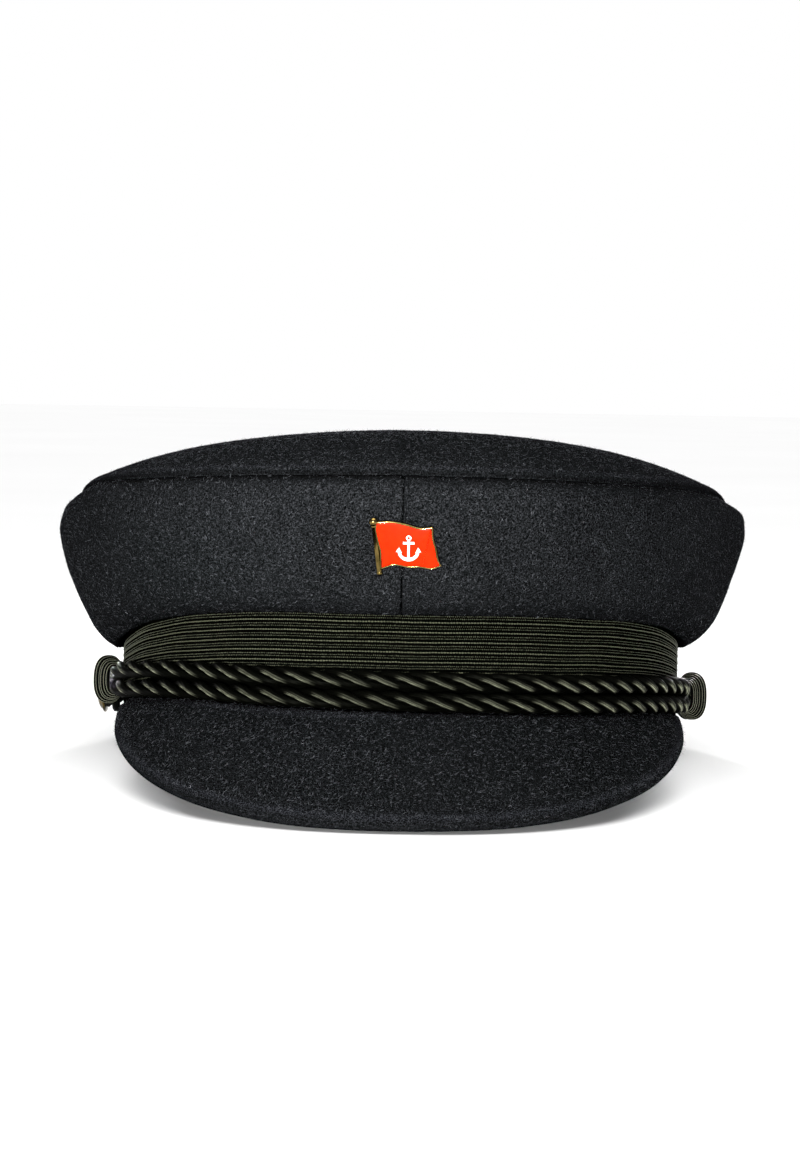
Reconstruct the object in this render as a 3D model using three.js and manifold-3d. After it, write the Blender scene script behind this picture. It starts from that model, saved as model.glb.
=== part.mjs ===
// A black felt captain's hat: a domed crown over a ribbed band, a felt peak, a doubled twisted cord with two brass
// buttons, and a small flag pin. Millimetres. The hat is drawn level, with the front at -Y and Z = 0 where the peak
// leaves the band, and then tilted back onto the surface, where it rests on its rear rim and its peak.
// Left and right are as seen from the front. Angles go round the head from the front, and grow to the right.
import * as THREE from "three";
import { mergeVertices } from "three/addons/utils/BufferGeometryUtils.js";
import Module from "manifold-3d";

const wasm = await Module();
wasm.setup();

// Head opening and band
const HEAD_LENGTH = 198;
const HEAD_WIDTH = 162;
const GAP = 0.3;
const HEAD_BAND_WALL = 2;
const HEAD_BAND_DROP = 4;
const BAND_TOP = 26.4;
const RIBBED_BAND_WALL = 1.2;
const RIBBED_BAND_DROP = 2.6;
const RIB_RELIEF = 0.5;
const RIB_PITCH = 2.7;
const BAND_OUTER = HEAD_BAND_WALL + GAP + RIBBED_BAND_WALL + RIB_RELIEF;

// Crown
const CROWN_WALL = 2;
const CROWN_OVERHANG = 20.4;
const SEAM_HEIGHT = 63.3;
const FOLD_HEIGHT = 25.2;
const FOLD_ROUND = 1.3;
const TIP_RISE = 20.6;
const TIP_LEAN = 1.3;
const WELT_WIDTH = 3.2;
const WELT_RELIEF = 0.7;

// Peak
const PEAK_WALL = 2.6;
const PEAK_SIDE_OVERHANG = 0.6;
const PEAK_REACH = 43;
const PEAK_DROP = 26.2;
const PEAK_END_HEIGHT = -3.6;
const PEAK_END_SETBACK = 36;
const PEAK_ROOT_HEIGHT = -2;
const PEAK_ARCH = 2.2;
const PEAK_SQUARENESS = 2.5;
const PEAK_ROOT_ANGLE = 68;
const PEAK_LAST_ANGLE = 89.5;
const BEAD_WIDTH = 3.6;
const BEAD_SWELL = 1.3;

// Cord, keepers and buttons
const CORD_DIAMETER = 5.2;
const CORD_LEAD = 22;
const CORD_MID_HEIGHT = 4.9;
const CORD_STEPS_PER_TURN = 6;
const KEEPER_ANGLE = 83;
const KEEPER_LENGTH = 8.4;
const KEEPER_WALL = 1.1;
const KEEPER_CLEARANCE = 0.45;
const KEEPER_TURNS = 5;
const BUTTON_ANGLE = 92;
const BUTTON_DIAMETER = 13.5;
const BUTTON_HEAD = 3.1;
const SHANK_DIAMETER = 2.4;
const BUTTON_HEIGHT = { left: 2.3, right: 3.2 };

// Flag pin
const PIN_WIDTH = 17.6;
const PIN_HEIGHT = 12.3;
const PIN_PLATE = 1.4;
const PIN_RIM = 0.45;
const PIN_RECESS = 0.7;
const PIN_CENTRE_X = 1.6;
const PIN_CENTRE_HEIGHT = 43;
const ENAMEL_GAP = 0.12;
const ENAMEL_DEPTH = 0.45;
const MOTIF_RELIEF = 0.35;
const MOTIF_HEIGHT = 7.2;
const POLE_DIAMETER = 1.4;
const POLE_BALL = 2.4;
const POST_DIAMETER = 1.2;
const POST_OFFSET = -4.5;
const CLUTCH_DIAMETER = 7.5;
const CLUTCH_CLEARANCE = 1.4;
const CLUTCH_DEPTH = 3;

// How far the felt is pressed flat where the hat rests
const REAR_FLAT = 1.5;
const PEAK_FLAT = 0.6;

// Facets
const HALF_FACETS = 20;
const PEAK_FACETS = 32;

// Crown heights round the head: shares of FOLD_HEIGHT and SEAM_HEIGHT, by degrees from the front
const CROWN_ROUND = [
  { angle: -180, fold: 0.86, seam: 0.965 },
  { angle: -135, fold: 0.76, seam: 0.98 },
  { angle: -90, fold: 0.63, seam: 1 },
  { angle: -75, fold: 0.78, seam: 1 },
  { angle: -58, fold: 0.95, seam: 0.995 },
  { angle: -35, fold: 1.005, seam: 0.985 },
  { angle: 0, fold: 1, seam: 0.98 },
  { angle: 35, fold: 1.005, seam: 0.985 },
  { angle: 58, fold: 0.96, seam: 0.995 },
  { angle: 75, fold: 0.83, seam: 1 },
  { angle: 90, fold: 0.74, seam: 1 },
  { angle: 135, fold: 0.8, seam: 0.98 },
  { angle: 180, fold: 0.86, seam: 0.965 },
];

// Crown side from the fold up to the seam: rise is a share of that height, left and right shares of CROWN_OVERHANG
const SIDE_ROWS = [
  { rise: 0, left: 0.11, right: 0.11 },
  { rise: 0.045, left: 0.27, right: 0.27 },
  { rise: 0.11, left: 0.41, right: 0.42 },
  { rise: 0.21, left: 0.54, right: 0.56 },
  { rise: 0.37, left: 0.71, right: 0.7 },
  { rise: 0.56, left: 0.88, right: 0.83 },
  { rise: 0.76, left: 1, right: 0.95 },
  { rise: 0.88, left: 0.93, right: 0.89 },
  { rise: 1, left: 0.66, right: 0.63 },
];

// Rows of the crown tip between the welt and the middle, as shares of its radius
const TIP_ROWS = [0.95, 0.88, 0.76, 0.6, 0.42, 0.2];

// Lift of the doubled cord round the front: shares of CORD_DIAMETER, by degrees from the front
const CORD_ROUND = [
  { angle: -90, lift: 0.2 },
  { angle: -76, lift: 0.2 },
  { angle: -45, lift: 0.36 },
  { angle: -24, lift: 0.14 },
  { angle: 0, lift: 0 },
  { angle: 30, lift: -0.06 },
  { angle: 60, lift: -0.06 },
  { angle: 76, lift: -0.2 },
  { angle: 90, lift: -0.2 },
];

// Flag outline, anticlockwise from the foot of the hoist: shares of PIN_WIDTH and PIN_HEIGHT
const FLAG_OUTLINE = [
  { x: 0.1, y: 0 },
  { x: 0.18, y: 0.06 },
  { x: 0.29, y: 0.11 },
  { x: 0.41, y: 0.08 },
  { x: 0.51, y: 0.06 },
  { x: 0.64, y: 0.07 },
  { x: 0.72, y: 0.05 },
  { x: 0.85, y: 0.01 },
  { x: 1, y: 0.07 },
  { x: 0.94, y: 0.25 },
  { x: 0.92, y: 0.47 },
  { x: 0.86, y: 0.68 },
  { x: 0.85, y: 0.89 },
  { x: 0.67, y: 0.87 },
  { x: 0.47, y: 0.95 },
  { x: 0.23, y: 1 },
  { x: 0.04, y: 0.99 },
  { x: 0.01, y: 0.84 },
  { x: 0.06, y: 0.61 },
  { x: 0.1, y: 0.4 },
  { x: 0.08, y: 0.15 },
];
const POLE_TOP = { x: -0.01, y: 0.97 };
const POLE_FOOT = { x: 0.07, y: -0.08 };

// Half the thickness of the peak by the distance from its edge, as shares of BEAD_WIDTH and of half of PEAK_WALL
const BEAD_ROWS = [
  { inward: 1.25, half: 1 },
  { inward: 0.9, half: BEAD_SWELL * 0.97 },
  { inward: 0.5, half: BEAD_SWELL },
  { inward: 0.16, half: BEAD_SWELL * 0.75 },
];

// Outline of one ply of the three: its turn as a share of the ply's third of a circle, its radius of the cord's
const PLY_ROWS = [
  { turn: 0, radius: 0.62 },
  { turn: 0.33, radius: 0.98 },
  { turn: 0.67, radius: 0.98 },
];

const FELT = { color: 0x24262a, roughness: 0.95, metalness: 0 };
const BRAID = { color: 0x2a2c20, roughness: 0.7, metalness: 0 };
const BRASS = { color: 0xa8812e, roughness: 0.3, metalness: 1 };
const RED_ENAMEL = { color: 0xe02a08, roughness: 0.2, metalness: 0 };
const WHITE_ENAMEL = { color: 0xf2f0e6, roughness: 0.25, metalness: 0 };

// Reads a column of a table at a place between its rows, on a smooth curve through them.
function readTable(rows, place, column, at) {
  let next = rows.findIndex((row) => row[place] >= at);
  if (next < 0) next = rows.length - 1;
  if (next === 0) next = 1;
  const row = (index) => rows[Math.min(Math.max(index, 0), rows.length - 1)];
  const [before, from, to, after] = [row(next - 2), row(next - 1), row(next), row(next + 1)];
  const span = to[place] - from[place];
  const slope = (a, b) => (b[column] - a[column]) / Math.max(b[place] - a[place], 1e-9);
  const slopeFrom = slope(before, to) * span;
  const slopeTo = slope(from, after) * span;
  const t = (at - from[place]) / span;
  const rest = 1 - t;
  const ends = from[column] * (1 + 2 * t) * rest * rest + to[column] * t * t * (3 - 2 * t);
  return ends + slopeFrom * t * rest * rest - slopeTo * t * t * rest;
}

// A point of the head oval, grown outward by an offset, at an angle in degrees, and the outward direction there.
function ovalPoint(angle, offset, height) {
  const turn = THREE.MathUtils.degToRad(angle);
  const outward = ovalNormal(angle);
  const x = (HEAD_WIDTH / 2) * Math.sin(turn) + offset * outward.x;
  const y = (-HEAD_LENGTH / 2) * Math.cos(turn) + offset * outward.y;
  return new THREE.Vector3(x, y, height);
}

function ovalNormal(angle) {
  const turn = THREE.MathUtils.degToRad(angle);
  return new THREE.Vector3(HEAD_LENGTH * Math.sin(turn), -HEAD_WIDTH * Math.cos(turn), 0).normalize();
}

// A closed body from its vertices and triangles, with its faces turned outward.
function bodyFrom(points, triangles) {
  let volume = 0;
  const cross = new THREE.Vector3();
  for (const [a, b, c] of triangles) {
    volume += points[a].dot(cross.crossVectors(points[b], points[c]));
  }
  const faces = volume < 0 ? triangles.map(([a, b, c]) => [a, c, b]) : triangles;
  const geometry = new THREE.BufferGeometry();
  geometry.setAttribute("position", new THREE.Float32BufferAttribute(points.flatMap((p) => p.toArray()), 3));
  geometry.setIndex(faces.flat());
  return geometry;
}

// Joins sections of equal count into a body: round a ring, or from end to end with a cap on each end.
function loft(sections, { ring = false, caps = null } = {}) {
  const count = sections[0].length;
  const triangles = [];
  const spans = ring ? sections.length : sections.length - 1;
  for (let i = 0; i < spans; i += 1) {
    const here = i * count;
    const there = ((i + 1) % sections.length) * count;
    for (let j = 0; j < count; j += 1) {
      const k = (j + 1) % count;
      triangles.push([here + j, there + j, there + k], [here + j, there + k, here + k]);
    }
  }
  if (!ring) {
    const last = (sections.length - 1) * count;
    const faces = (outline) => THREE.ShapeUtils.triangulateShape(outline, []);
    triangles.push(...windLike(faces(caps[0]), count, 0, false));
    triangles.push(...windLike(faces(caps[1]), count, last, true));
  }
  return bodyFrom(sections.flat(), triangles);
}

// Turns the triangles of a cap so that they match the direction in which the loft runs along the cap's edge.
function windLike(faces, count, first, atEnd) {
  const forward = faces.some((face) => face.some((a, i) => face[(i + 1) % 3] === (a + 1) % count));
  const flip = forward === atEnd;
  return faces.map(([a, b, c]) => (flip ? [first + a, first + c, first + b] : [first + a, first + b, first + c]));
}

// The far side of a wall whose near side is a line of (offset, height) points, by the mean normal at each point.
function offsetLine(line, wall) {
  return line.map((point, i) => {
    const before = line[Math.max(i - 1, 0)];
    const after = line[Math.min(i + 1, line.length - 1)];
    const into = point.clone().sub(before);
    const out = after.clone().sub(point);
    if (into.length() === 0) into.copy(out);
    if (out.length() === 0) out.copy(into);
    const mean = into.normalize().add(out.normalize()).normalize();
    const stretch = 1 / Math.max(mean.dot(into), 0.75);
    return new THREE.Vector2(point.x - mean.y * wall * stretch, point.y + mean.x * wall * stretch);
  });
}

// Plane under the hat in the level frame: the tilt, and a pusher that flattens what lies under it.
const peakTip = peakEdge(0);
const rearRim = ovalPoint(180, 0, -HEAD_BAND_DROP);
const restTilt = Math.atan2(
  rearRim.z + REAR_FLAT - (peakTip.z - PEAK_WALL * BEAD_SWELL * 0.5 + PEAK_FLAT),
  rearRim.y + HEAD_BAND_WALL - peakTip.y,
);
const restNormal = new THREE.Vector3(0, -Math.sin(restTilt), Math.cos(restTilt));
const restPoint = new THREE.Vector3(0, rearRim.y + HEAD_BAND_WALL, rearRim.z + REAR_FLAT);

function pressFlat(geometry) {
  const position = geometry.attributes.position;
  const point = new THREE.Vector3();
  for (let i = 0; i < position.count; i += 1) {
    point.fromBufferAttribute(position, i);
    const under = restNormal.dot(point.clone().sub(restPoint));
    if (under < 0) {
      point.addScaledVector(restNormal, -under);
      position.setXYZ(i, point.x, point.y, point.z);
    }
  }
  return geometry;
}

// Solids for joining and cutting
function toSolid(geometry) {
  const bare = geometry.clone();
  bare.deleteAttribute("normal");
  bare.deleteAttribute("uv");
  const merged = mergeVertices(bare, 1e-4);
  const vertProperties = new Float32Array(merged.attributes.position.array);
  const triVerts = new Uint32Array(merged.index.array);
  return new wasm.Manifold(new wasm.Mesh({ numProp: 3, vertProperties, triVerts }));
}

function toGeometry(solid) {
  const mesh = solid.getMesh();
  const geometry = new THREE.BufferGeometry();
  geometry.setAttribute("position", new THREE.BufferAttribute(new Float32Array(mesh.vertProperties), 3));
  geometry.setIndex(new THREE.BufferAttribute(new Uint32Array(mesh.triVerts), 1));
  return geometry;
}

// Bands
function ringOf(outline, facets) {
  const sections = [];
  for (let i = 0; i < facets; i += 1) {
    const angle = (360 * i) / facets;
    sections.push(outline.map((point) => ovalPoint(angle, point.x, point.y)));
  }
  return loft(sections, { ring: true });
}

function headBand() {
  const outline = [
    new THREE.Vector2(0, -HEAD_BAND_DROP),
    new THREE.Vector2(HEAD_BAND_WALL, -HEAD_BAND_DROP),
    new THREE.Vector2(HEAD_BAND_WALL, BAND_TOP),
    new THREE.Vector2(0, BAND_TOP),
  ];
  return pressFlat(ringOf(outline, 2 * HALF_FACETS));
}

function ribbedBand() {
  const inner = HEAD_BAND_WALL + GAP;
  const valley = inner + RIBBED_BAND_WALL;
  const crest = valley + RIB_RELIEF;
  const ribs = Math.floor((BAND_TOP + RIBBED_BAND_DROP) / RIB_PITCH);
  const pitch = (BAND_TOP + RIBBED_BAND_DROP) / ribs;
  const outline = [new THREE.Vector2(inner, -RIBBED_BAND_DROP)];
  for (let rib = 0; rib < ribs; rib += 1) {
    const foot = -RIBBED_BAND_DROP + rib * pitch;
    outline.push(new THREE.Vector2(valley, foot), new THREE.Vector2(crest, foot + pitch / 2));
  }
  outline.push(new THREE.Vector2(valley, BAND_TOP), new THREE.Vector2(inner, BAND_TOP));
  return pressFlat(ringOf(outline, 2 * HALF_FACETS));
}

// Crown
function crownHeights(angle) {
  const at = THREE.MathUtils.euclideanModulo(angle + 180, 360) - 180;
  return {
    fold: FOLD_HEIGHT * readTable(CROWN_ROUND, "angle", "fold", at),
    seam: SEAM_HEIGHT * readTable(CROWN_ROUND, "angle", "seam", at),
  };
}

// Share of the right-hand table column at an angle: 0 on the left, 1 on the right, blended over the front and back.
function rightShare(angle) {
  return 0.5 + 0.5 * Math.sin(THREE.MathUtils.degToRad(angle));
}

function sideReach(row, angle) {
  return CROWN_OVERHANG * THREE.MathUtils.lerp(row.left, row.right, rightShare(angle));
}

// The outer face of the crown side at an angle, from its seat on the bands down round the fold and up to the seam.
function sideFace(angle) {
  const { fold, seam } = crownHeights(angle);
  const seat = BAND_TOP + GAP;
  const hug = BAND_OUTER + GAP;
  const legFoot = Math.min(fold + FOLD_ROUND, seat - GAP);
  const face = [
    new THREE.Vector2(GAP, seat),
    new THREE.Vector2(hug, seat),
    new THREE.Vector2(hug, legFoot),
    new THREE.Vector2(hug + FOLD_ROUND * 0.35, fold + FOLD_ROUND * 0.3),
  ];
  for (const row of SIDE_ROWS) {
    face.push(new THREE.Vector2(BAND_OUTER + sideReach(row, angle), fold + row.rise * (seam - fold)));
  }
  return face;
}

function crownSide(from, to, shift) {
  const sections = [];
  const outlines = [];
  for (let i = 0; i <= HALF_FACETS; i += 1) {
    const angle = THREE.MathUtils.lerp(from, to, i / HALF_FACETS);
    const face = sideFace(angle);
    const outline = [...face, ...offsetLine(face, CROWN_WALL).reverse()];
    const section = outline.map((point) => ovalPoint(angle, point.x, point.y));
    for (const point of section) point.x += shift;
    sections.push(section);
    outlines.push(outline);
  }
  return loft(sections, { caps: [outlines[0], outlines[HALF_FACETS]] });
}

// Height of the domed tip above the seam at a share of its radius.
function domeRise(radius) {
  return TIP_RISE * Math.pow(Math.max(1 - radius * radius, 0), 0.75);
}

function tipPoint(angle, radius, raise) {
  const edge = ovalPoint(angle, BAND_OUTER + sideReach(SIDE_ROWS.at(-1), angle), 0);
  const middle = (crownHeights(0).seam + crownHeights(180).seam) / 2;
  const base = THREE.MathUtils.lerp(middle, crownHeights(angle).seam, radius * radius);
  const lean = (TIP_LEAN * edge.x * radius * (1 - radius * radius)) / (HEAD_WIDTH / 2);
  return new THREE.Vector3(edge.x * radius, edge.y * radius, base + domeRise(radius) + lean + GAP + raise);
}

// A domed sheet with its welt: rings of points over the top, and fewer rings back under it.
function crownTip() {
  const edgeRadius = HEAD_WIDTH / 2 + BAND_OUTER + CROWN_OVERHANG * SIDE_ROWS.at(-1).right;
  const start = 1 - GAP / edgeRadius;
  const welt = WELT_WIDTH / edgeRadius;
  const wall = CROWN_WALL / edgeRadius;
  const over = [
    { radius: start, raise: 0 },
    { radius: start - welt * 0.1, raise: WELT_RELIEF },
    { radius: start - welt * 0.7, raise: WELT_RELIEF },
    { radius: start - welt, raise: 0 },
    ...TIP_ROWS.map((radius) => ({ radius: radius - welt, raise: 0 })),
  ];
  const under = [...TIP_ROWS.filter((_, i) => i % 2 === 1).reverse(), 0.97, 1].map((radius) => ({
    radius: radius === 1 ? start - wall : radius - welt - wall,
    raise: -CROWN_WALL,
  }));
  const facets = 2 * HALF_FACETS;
  const rings = [...over, ...under];
  const points = rings.flatMap((row) =>
    Array.from({ length: facets }, (_, i) => tipPoint((360 * i) / facets, row.radius, row.raise)),
  );
  const top = points.push(tipPoint(0, 0, 0)) - 1;
  const bottom = points.push(tipPoint(0, 0, -CROWN_WALL)) - 1;
  const triangles = [];
  for (let ring = 0; ring < rings.length; ring += 1) {
    const here = ring * facets;
    const there = ((ring + 1) % rings.length) * facets;
    for (let i = 0; i < facets; i += 1) {
      const k = (i + 1) % facets;
      if (ring === over.length - 1) triangles.push([here + i, here + k, top], [there + k, there + i, bottom]);
      else triangles.push([here + i, here + k, there + k], [here + i, there + k, there + i]);
    }
  }
  return bodyFrom(points, triangles);
}

// Peak. The edge lies in one sloping plane, and its plan is a squared oval.
function peakEdge(angle) {
  const turn = THREE.MathUtils.degToRad(angle);
  const power = 2 / PEAK_SQUARENESS;
  const across = Math.sign(turn) * Math.pow(Math.abs(Math.sin(turn)), power);
  const along = Math.pow(Math.abs(Math.cos(turn)), power);
  const reach = HEAD_LENGTH / 2 + BAND_OUTER + PEAK_REACH - PEAK_END_SETBACK;
  return new THREE.Vector3(
    (HEAD_WIDTH / 2 + PEAK_SIDE_OVERHANG) * across,
    -PEAK_END_SETBACK - reach * along,
    PEAK_END_HEIGHT - PEAK_DROP * along,
  );
}

// The peak's root follows the cord that lies on it.
function peakRoot(angle) {
  const round = (angle * PEAK_ROOT_ANGLE) / 90;
  return ovalPoint(round, BAND_OUTER + GAP, PEAK_ROOT_HEIGHT + cordLift(round));
}

function peakMiddle(angle, share) {
  const root = peakRoot(angle);
  const edge = peakEdge(angle);
  const width = root.distanceTo(edge);
  const point = root.clone().lerp(edge, share);
  point.z += PEAK_ARCH * Math.sin(Math.PI * share) * Math.min(width / PEAK_REACH, 1);
  return point;
}

function peakNormal(angle, share) {
  const step = 0.02;
  const ahead = Math.min(angle + 1, PEAK_LAST_ANGLE);
  const behind = Math.max(angle - 1, -PEAK_LAST_ANGLE);
  const along = peakMiddle(ahead, share).sub(peakMiddle(behind, share));
  const across = peakMiddle(angle, Math.min(share + step, 1)).sub(peakMiddle(angle, share - step));
  return along.cross(across).normalize().multiplyScalar(-1);
}

// Section across the peak from its root to its edge and back: even steps as far as the bead, then the bead's rows.
function peakSection(angle) {
  const width = peakRoot(angle).distanceTo(peakEdge(angle));
  const bead = Math.min(BEAD_WIDTH, width * 0.5);
  const beadStart = 1 - (BEAD_ROWS[0].inward * bead) / width;
  const rows = [0, 0.22, 0.45, 0.68].map((share) => ({ share: share * beadStart, half: 1 }));
  for (const row of BEAD_ROWS) rows.push({ share: 1 - (row.inward * bead) / width, half: row.half });
  const face = (side) =>
    rows.map((row) => {
      const normal = row.share === 0 ? new THREE.Vector3(0, 0, 1) : peakNormal(angle, row.share);
      return peakMiddle(angle, row.share).addScaledVector(normal, (side * row.half * PEAK_WALL) / 2);
    });
  const top = face(1);
  const under = face(-1).reverse();
  return [...top, peakMiddle(angle, 1), ...under];
}

function peak() {
  const sections = [];
  for (let i = 0; i <= PEAK_FACETS; i += 1) {
    const share = (2 * i) / PEAK_FACETS - 1;
    sections.push(peakSection(PEAK_LAST_ANGLE * share));
  }
  const flat = (section) => {
    const origin = section[0];
    const edge = section[(section.length - 1) / 2];
    const over = edge.clone().sub(origin).normalize();
    const up = section.at(-1).clone().sub(origin);
    up.addScaledVector(over, -up.dot(over)).normalize();
    return section.map((p) => new THREE.Vector2(p.clone().sub(origin).dot(over), p.clone().sub(origin).dot(up)));
  };
  return pressFlat(loft(sections, { caps: [flat(sections[0]), flat(sections.at(-1))] }));
}

// Cord: one closed loop of three-ply twisted cord, laid round both button shanks.
function cordLift(angle) {
  return CORD_DIAMETER * readTable(CORD_ROUND, "angle", "lift", THREE.MathUtils.clamp(angle, -90, 90));
}

// How far a keeper stands the cord off the band
const KEEPER_STAND = KEEPER_WALL + KEEPER_CLEARANCE;

// Degrees round the side of the head for each millimetre, and where the keeper ends and the button's head begins
const SIDE_DEGREES = 360 / (Math.PI * (HEAD_LENGTH + 2 * BAND_OUTER));
const KEEPER_END = KEEPER_ANGLE + (KEEPER_LENGTH / 2) * SIDE_DEGREES;
const BUTTON_EDGE = BUTTON_ANGLE - (BUTTON_DIAMETER / 2) * SIDE_DEGREES;

function cordCentreline() {
  const points = [];
  const half = (CORD_DIAMETER + GAP) / 2;
  const seat = BAND_OUTER + GAP + CORD_DIAMETER / 2;
  const turnRadius = Math.max(SHANK_DIAMETER / 2 + GAP + CORD_DIAMETER / 2, half);
  const run = (angle, side) => {
    const away = Math.abs(angle);
    const near = THREE.MathUtils.smoothstep(away, KEEPER_END, BUTTON_ANGLE);
    const buttonHeight = angle < 0 ? BUTTON_HEIGHT.left : BUTTON_HEIGHT.right;
    const middle = THREE.MathUtils.lerp(CORD_MID_HEIGHT + cordLift(angle), buttonHeight, near);
    const spread = THREE.MathUtils.lerp(half, turnRadius, near);
    const up = THREE.MathUtils.smoothstep(away, KEEPER_ANGLE - 20, 2 * KEEPER_ANGLE - KEEPER_END);
    const down = THREE.MathUtils.smoothstep(away, KEEPER_END, BUTTON_EDGE);
    const stand = KEEPER_STAND * (up - down);
    return ovalPoint(angle, seat + stand, middle + side * spread);
  };
  const stops = [];
  const stopCount = 46;
  for (let i = -stopCount; i <= stopCount; i += 1) stops.push((BUTTON_ANGLE * i) / stopCount);
  for (const angle of stops) points.push(run(angle, 1));
  turnRound(points, 1, turnRadius, seat);
  for (const angle of [...stops].reverse()) points.push(run(angle, -1));
  turnRound(points, -1, turnRadius, seat);
  return new THREE.CatmullRomCurve3(points, true, "centripetal");
}

// The turn behind one button: side is 1 on the right and -1 on the left.
function turnRound(points, side, radius, seat) {
  const height = side > 0 ? BUTTON_HEIGHT.right : BUTTON_HEIGHT.left;
  for (const step of [0.25, 0.5, 0.75]) {
    const back = radius * Math.sin(Math.PI * step);
    const up = side * radius * Math.cos(Math.PI * step);
    points.push(ovalPoint(side * (BUTTON_ANGLE + back * SIDE_DEGREES), seat, height + up));
  }
}

function cord() {
  const line = cordCentreline();
  const length = line.getLength();
  const turns = Math.round(length / CORD_LEAD);
  const steps = turns * CORD_STEPS_PER_TURN;
  line.arcLengthDivisions = steps * 4;
  line.updateArcLengths();
  const outline = [0, 1, 2].flatMap((ply) =>
    PLY_ROWS.map((row) => ({ turn: ((ply + row.turn) * 2 * Math.PI) / 3, radius: (row.radius * CORD_DIAMETER) / 2 })),
  );
  const sections = [];
  for (let i = 0; i < steps; i += 1) {
    const centre = line.getPointAt(i / steps);
    const along = line.getTangentAt(i / steps);
    const outward = new THREE.Vector3(centre.x / HEAD_WIDTH ** 2, centre.y / HEAD_LENGTH ** 2, 0).normalize();
    const across = outward.clone().addScaledVector(along, -outward.dot(along)).normalize();
    const third = along.clone().cross(across);
    const twist = (2 * Math.PI * i) / CORD_STEPS_PER_TURN;
    sections.push(
      outline.map((point) => {
        const turn = point.turn + twist;
        return centre
          .clone()
          .addScaledVector(across, point.radius * Math.cos(turn))
          .addScaledVector(third, point.radius * Math.sin(turn));
      }),
    );
  }
  return loft(sections, { ring: true });
}

// Keeper: turns of yarn wound round both runs of the cord, just in front of a button.
function keeper(side) {
  const seat = BAND_OUTER + GAP + CORD_DIAMETER / 2 + KEEPER_STAND;
  const angle = side * KEEPER_ANGLE;
  const centre = ovalPoint(angle, seat, CORD_MID_HEIGHT + cordLift(angle));
  const outward = ovalNormal(angle);
  const along = new THREE.Vector3(-outward.y, outward.x, 0);
  const ring = (place, grow) => {
    const round = CORD_DIAMETER / 2 + KEEPER_CLEARANCE + grow;
    const flat = (CORD_DIAMETER + GAP) / 2;
    const points = [];
    for (const end of [1, -1]) {
      for (const turn of [0, 0.25, 0.5, 0.75, 1]) {
        const a = Math.PI * (end > 0 ? turn : 1 + turn);
        points.push(
          centre
            .clone()
            .addScaledVector(along, place * KEEPER_LENGTH)
            .addScaledVector(outward, round * Math.cos(a))
            .add(new THREE.Vector3(0, 0, end * flat + round * Math.sin(a))),
        );
      }
    }
    return points;
  };
  const rings = [ring(-0.5, 0)];
  for (let turn = 0; turn < KEEPER_TURNS; turn += 1) {
    rings.push(ring(turn / KEEPER_TURNS - 0.5, KEEPER_WALL * 0.6));
    rings.push(ring((turn + 0.5) / KEEPER_TURNS - 0.5, KEEPER_WALL));
  }
  rings.push(ring(0.5, KEEPER_WALL * 0.6), ring(0.5, 0));
  return loft(rings, { ring: true });
}

// Button: a domed head on a shank, turned about its own axis and then laid along the side of the head.
function button() {
  const head = BUTTON_DIAMETER / 2;
  const shank = SHANK_DIAMETER / 2;
  const under = CORD_DIAMETER + GAP;
  const profile = [
    [0, 0],
    [shank, 0],
    [shank, under],
    [head * 0.86, under],
    [head, under + BUTTON_HEAD * 0.22],
    [head * 0.97, under + BUTTON_HEAD * 0.45],
    [head * 0.74, under + BUTTON_HEAD * 0.78],
    [head * 0.4, under + BUTTON_HEAD * 0.96],
    [0, under + BUTTON_HEAD],
  ];
  return new THREE.LatheGeometry(profile.map(([x, y]) => new THREE.Vector2(x, y)), 12);
}

function placeButton(mesh, side) {
  const height = side > 0 ? BUTTON_HEIGHT.right : BUTTON_HEIGHT.left;
  mesh.position.copy(ovalPoint(side * BUTTON_ANGLE, BAND_OUTER + GAP, height));
  mesh.quaternion.setFromUnitVectors(new THREE.Vector3(0, 1, 0), ovalNormal(side * BUTTON_ANGLE));
  return mesh;
}

// Flag pin, drawn flat in its own plane with the plate's back at Z = 0.
function flagShape(inset) {
  const corners = FLAG_OUTLINE.map((p) => new THREE.Vector2((p.x - 0.5) * PIN_WIDTH, (p.y - 0.5) * PIN_HEIGHT));
  const moved = corners.map((corner, i) => {
    const before = corners.at(i - 1);
    const after = corners[(i + 1) % corners.length];
    const into = corner.clone().sub(before).normalize();
    const out = after.clone().sub(corner).normalize();
    const mean = into.clone().add(out).normalize();
    const reach = inset / Math.max(mean.dot(into), 0.5);
    return new THREE.Vector2(corner.x - mean.y * reach, corner.y + mean.x * reach);
  });
  return new THREE.Shape(moved);
}

function slab(shape, depth, height) {
  const geometry = new THREE.ExtrudeGeometry(shape, { depth, bevelEnabled: false, curveSegments: 6 });
  return geometry.translate(0, 0, height);
}

function onFlag(share, height) {
  return new THREE.Vector3((share.x - 0.5) * PIN_WIDTH, (share.y - 0.5) * PIN_HEIGHT, height);
}

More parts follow.
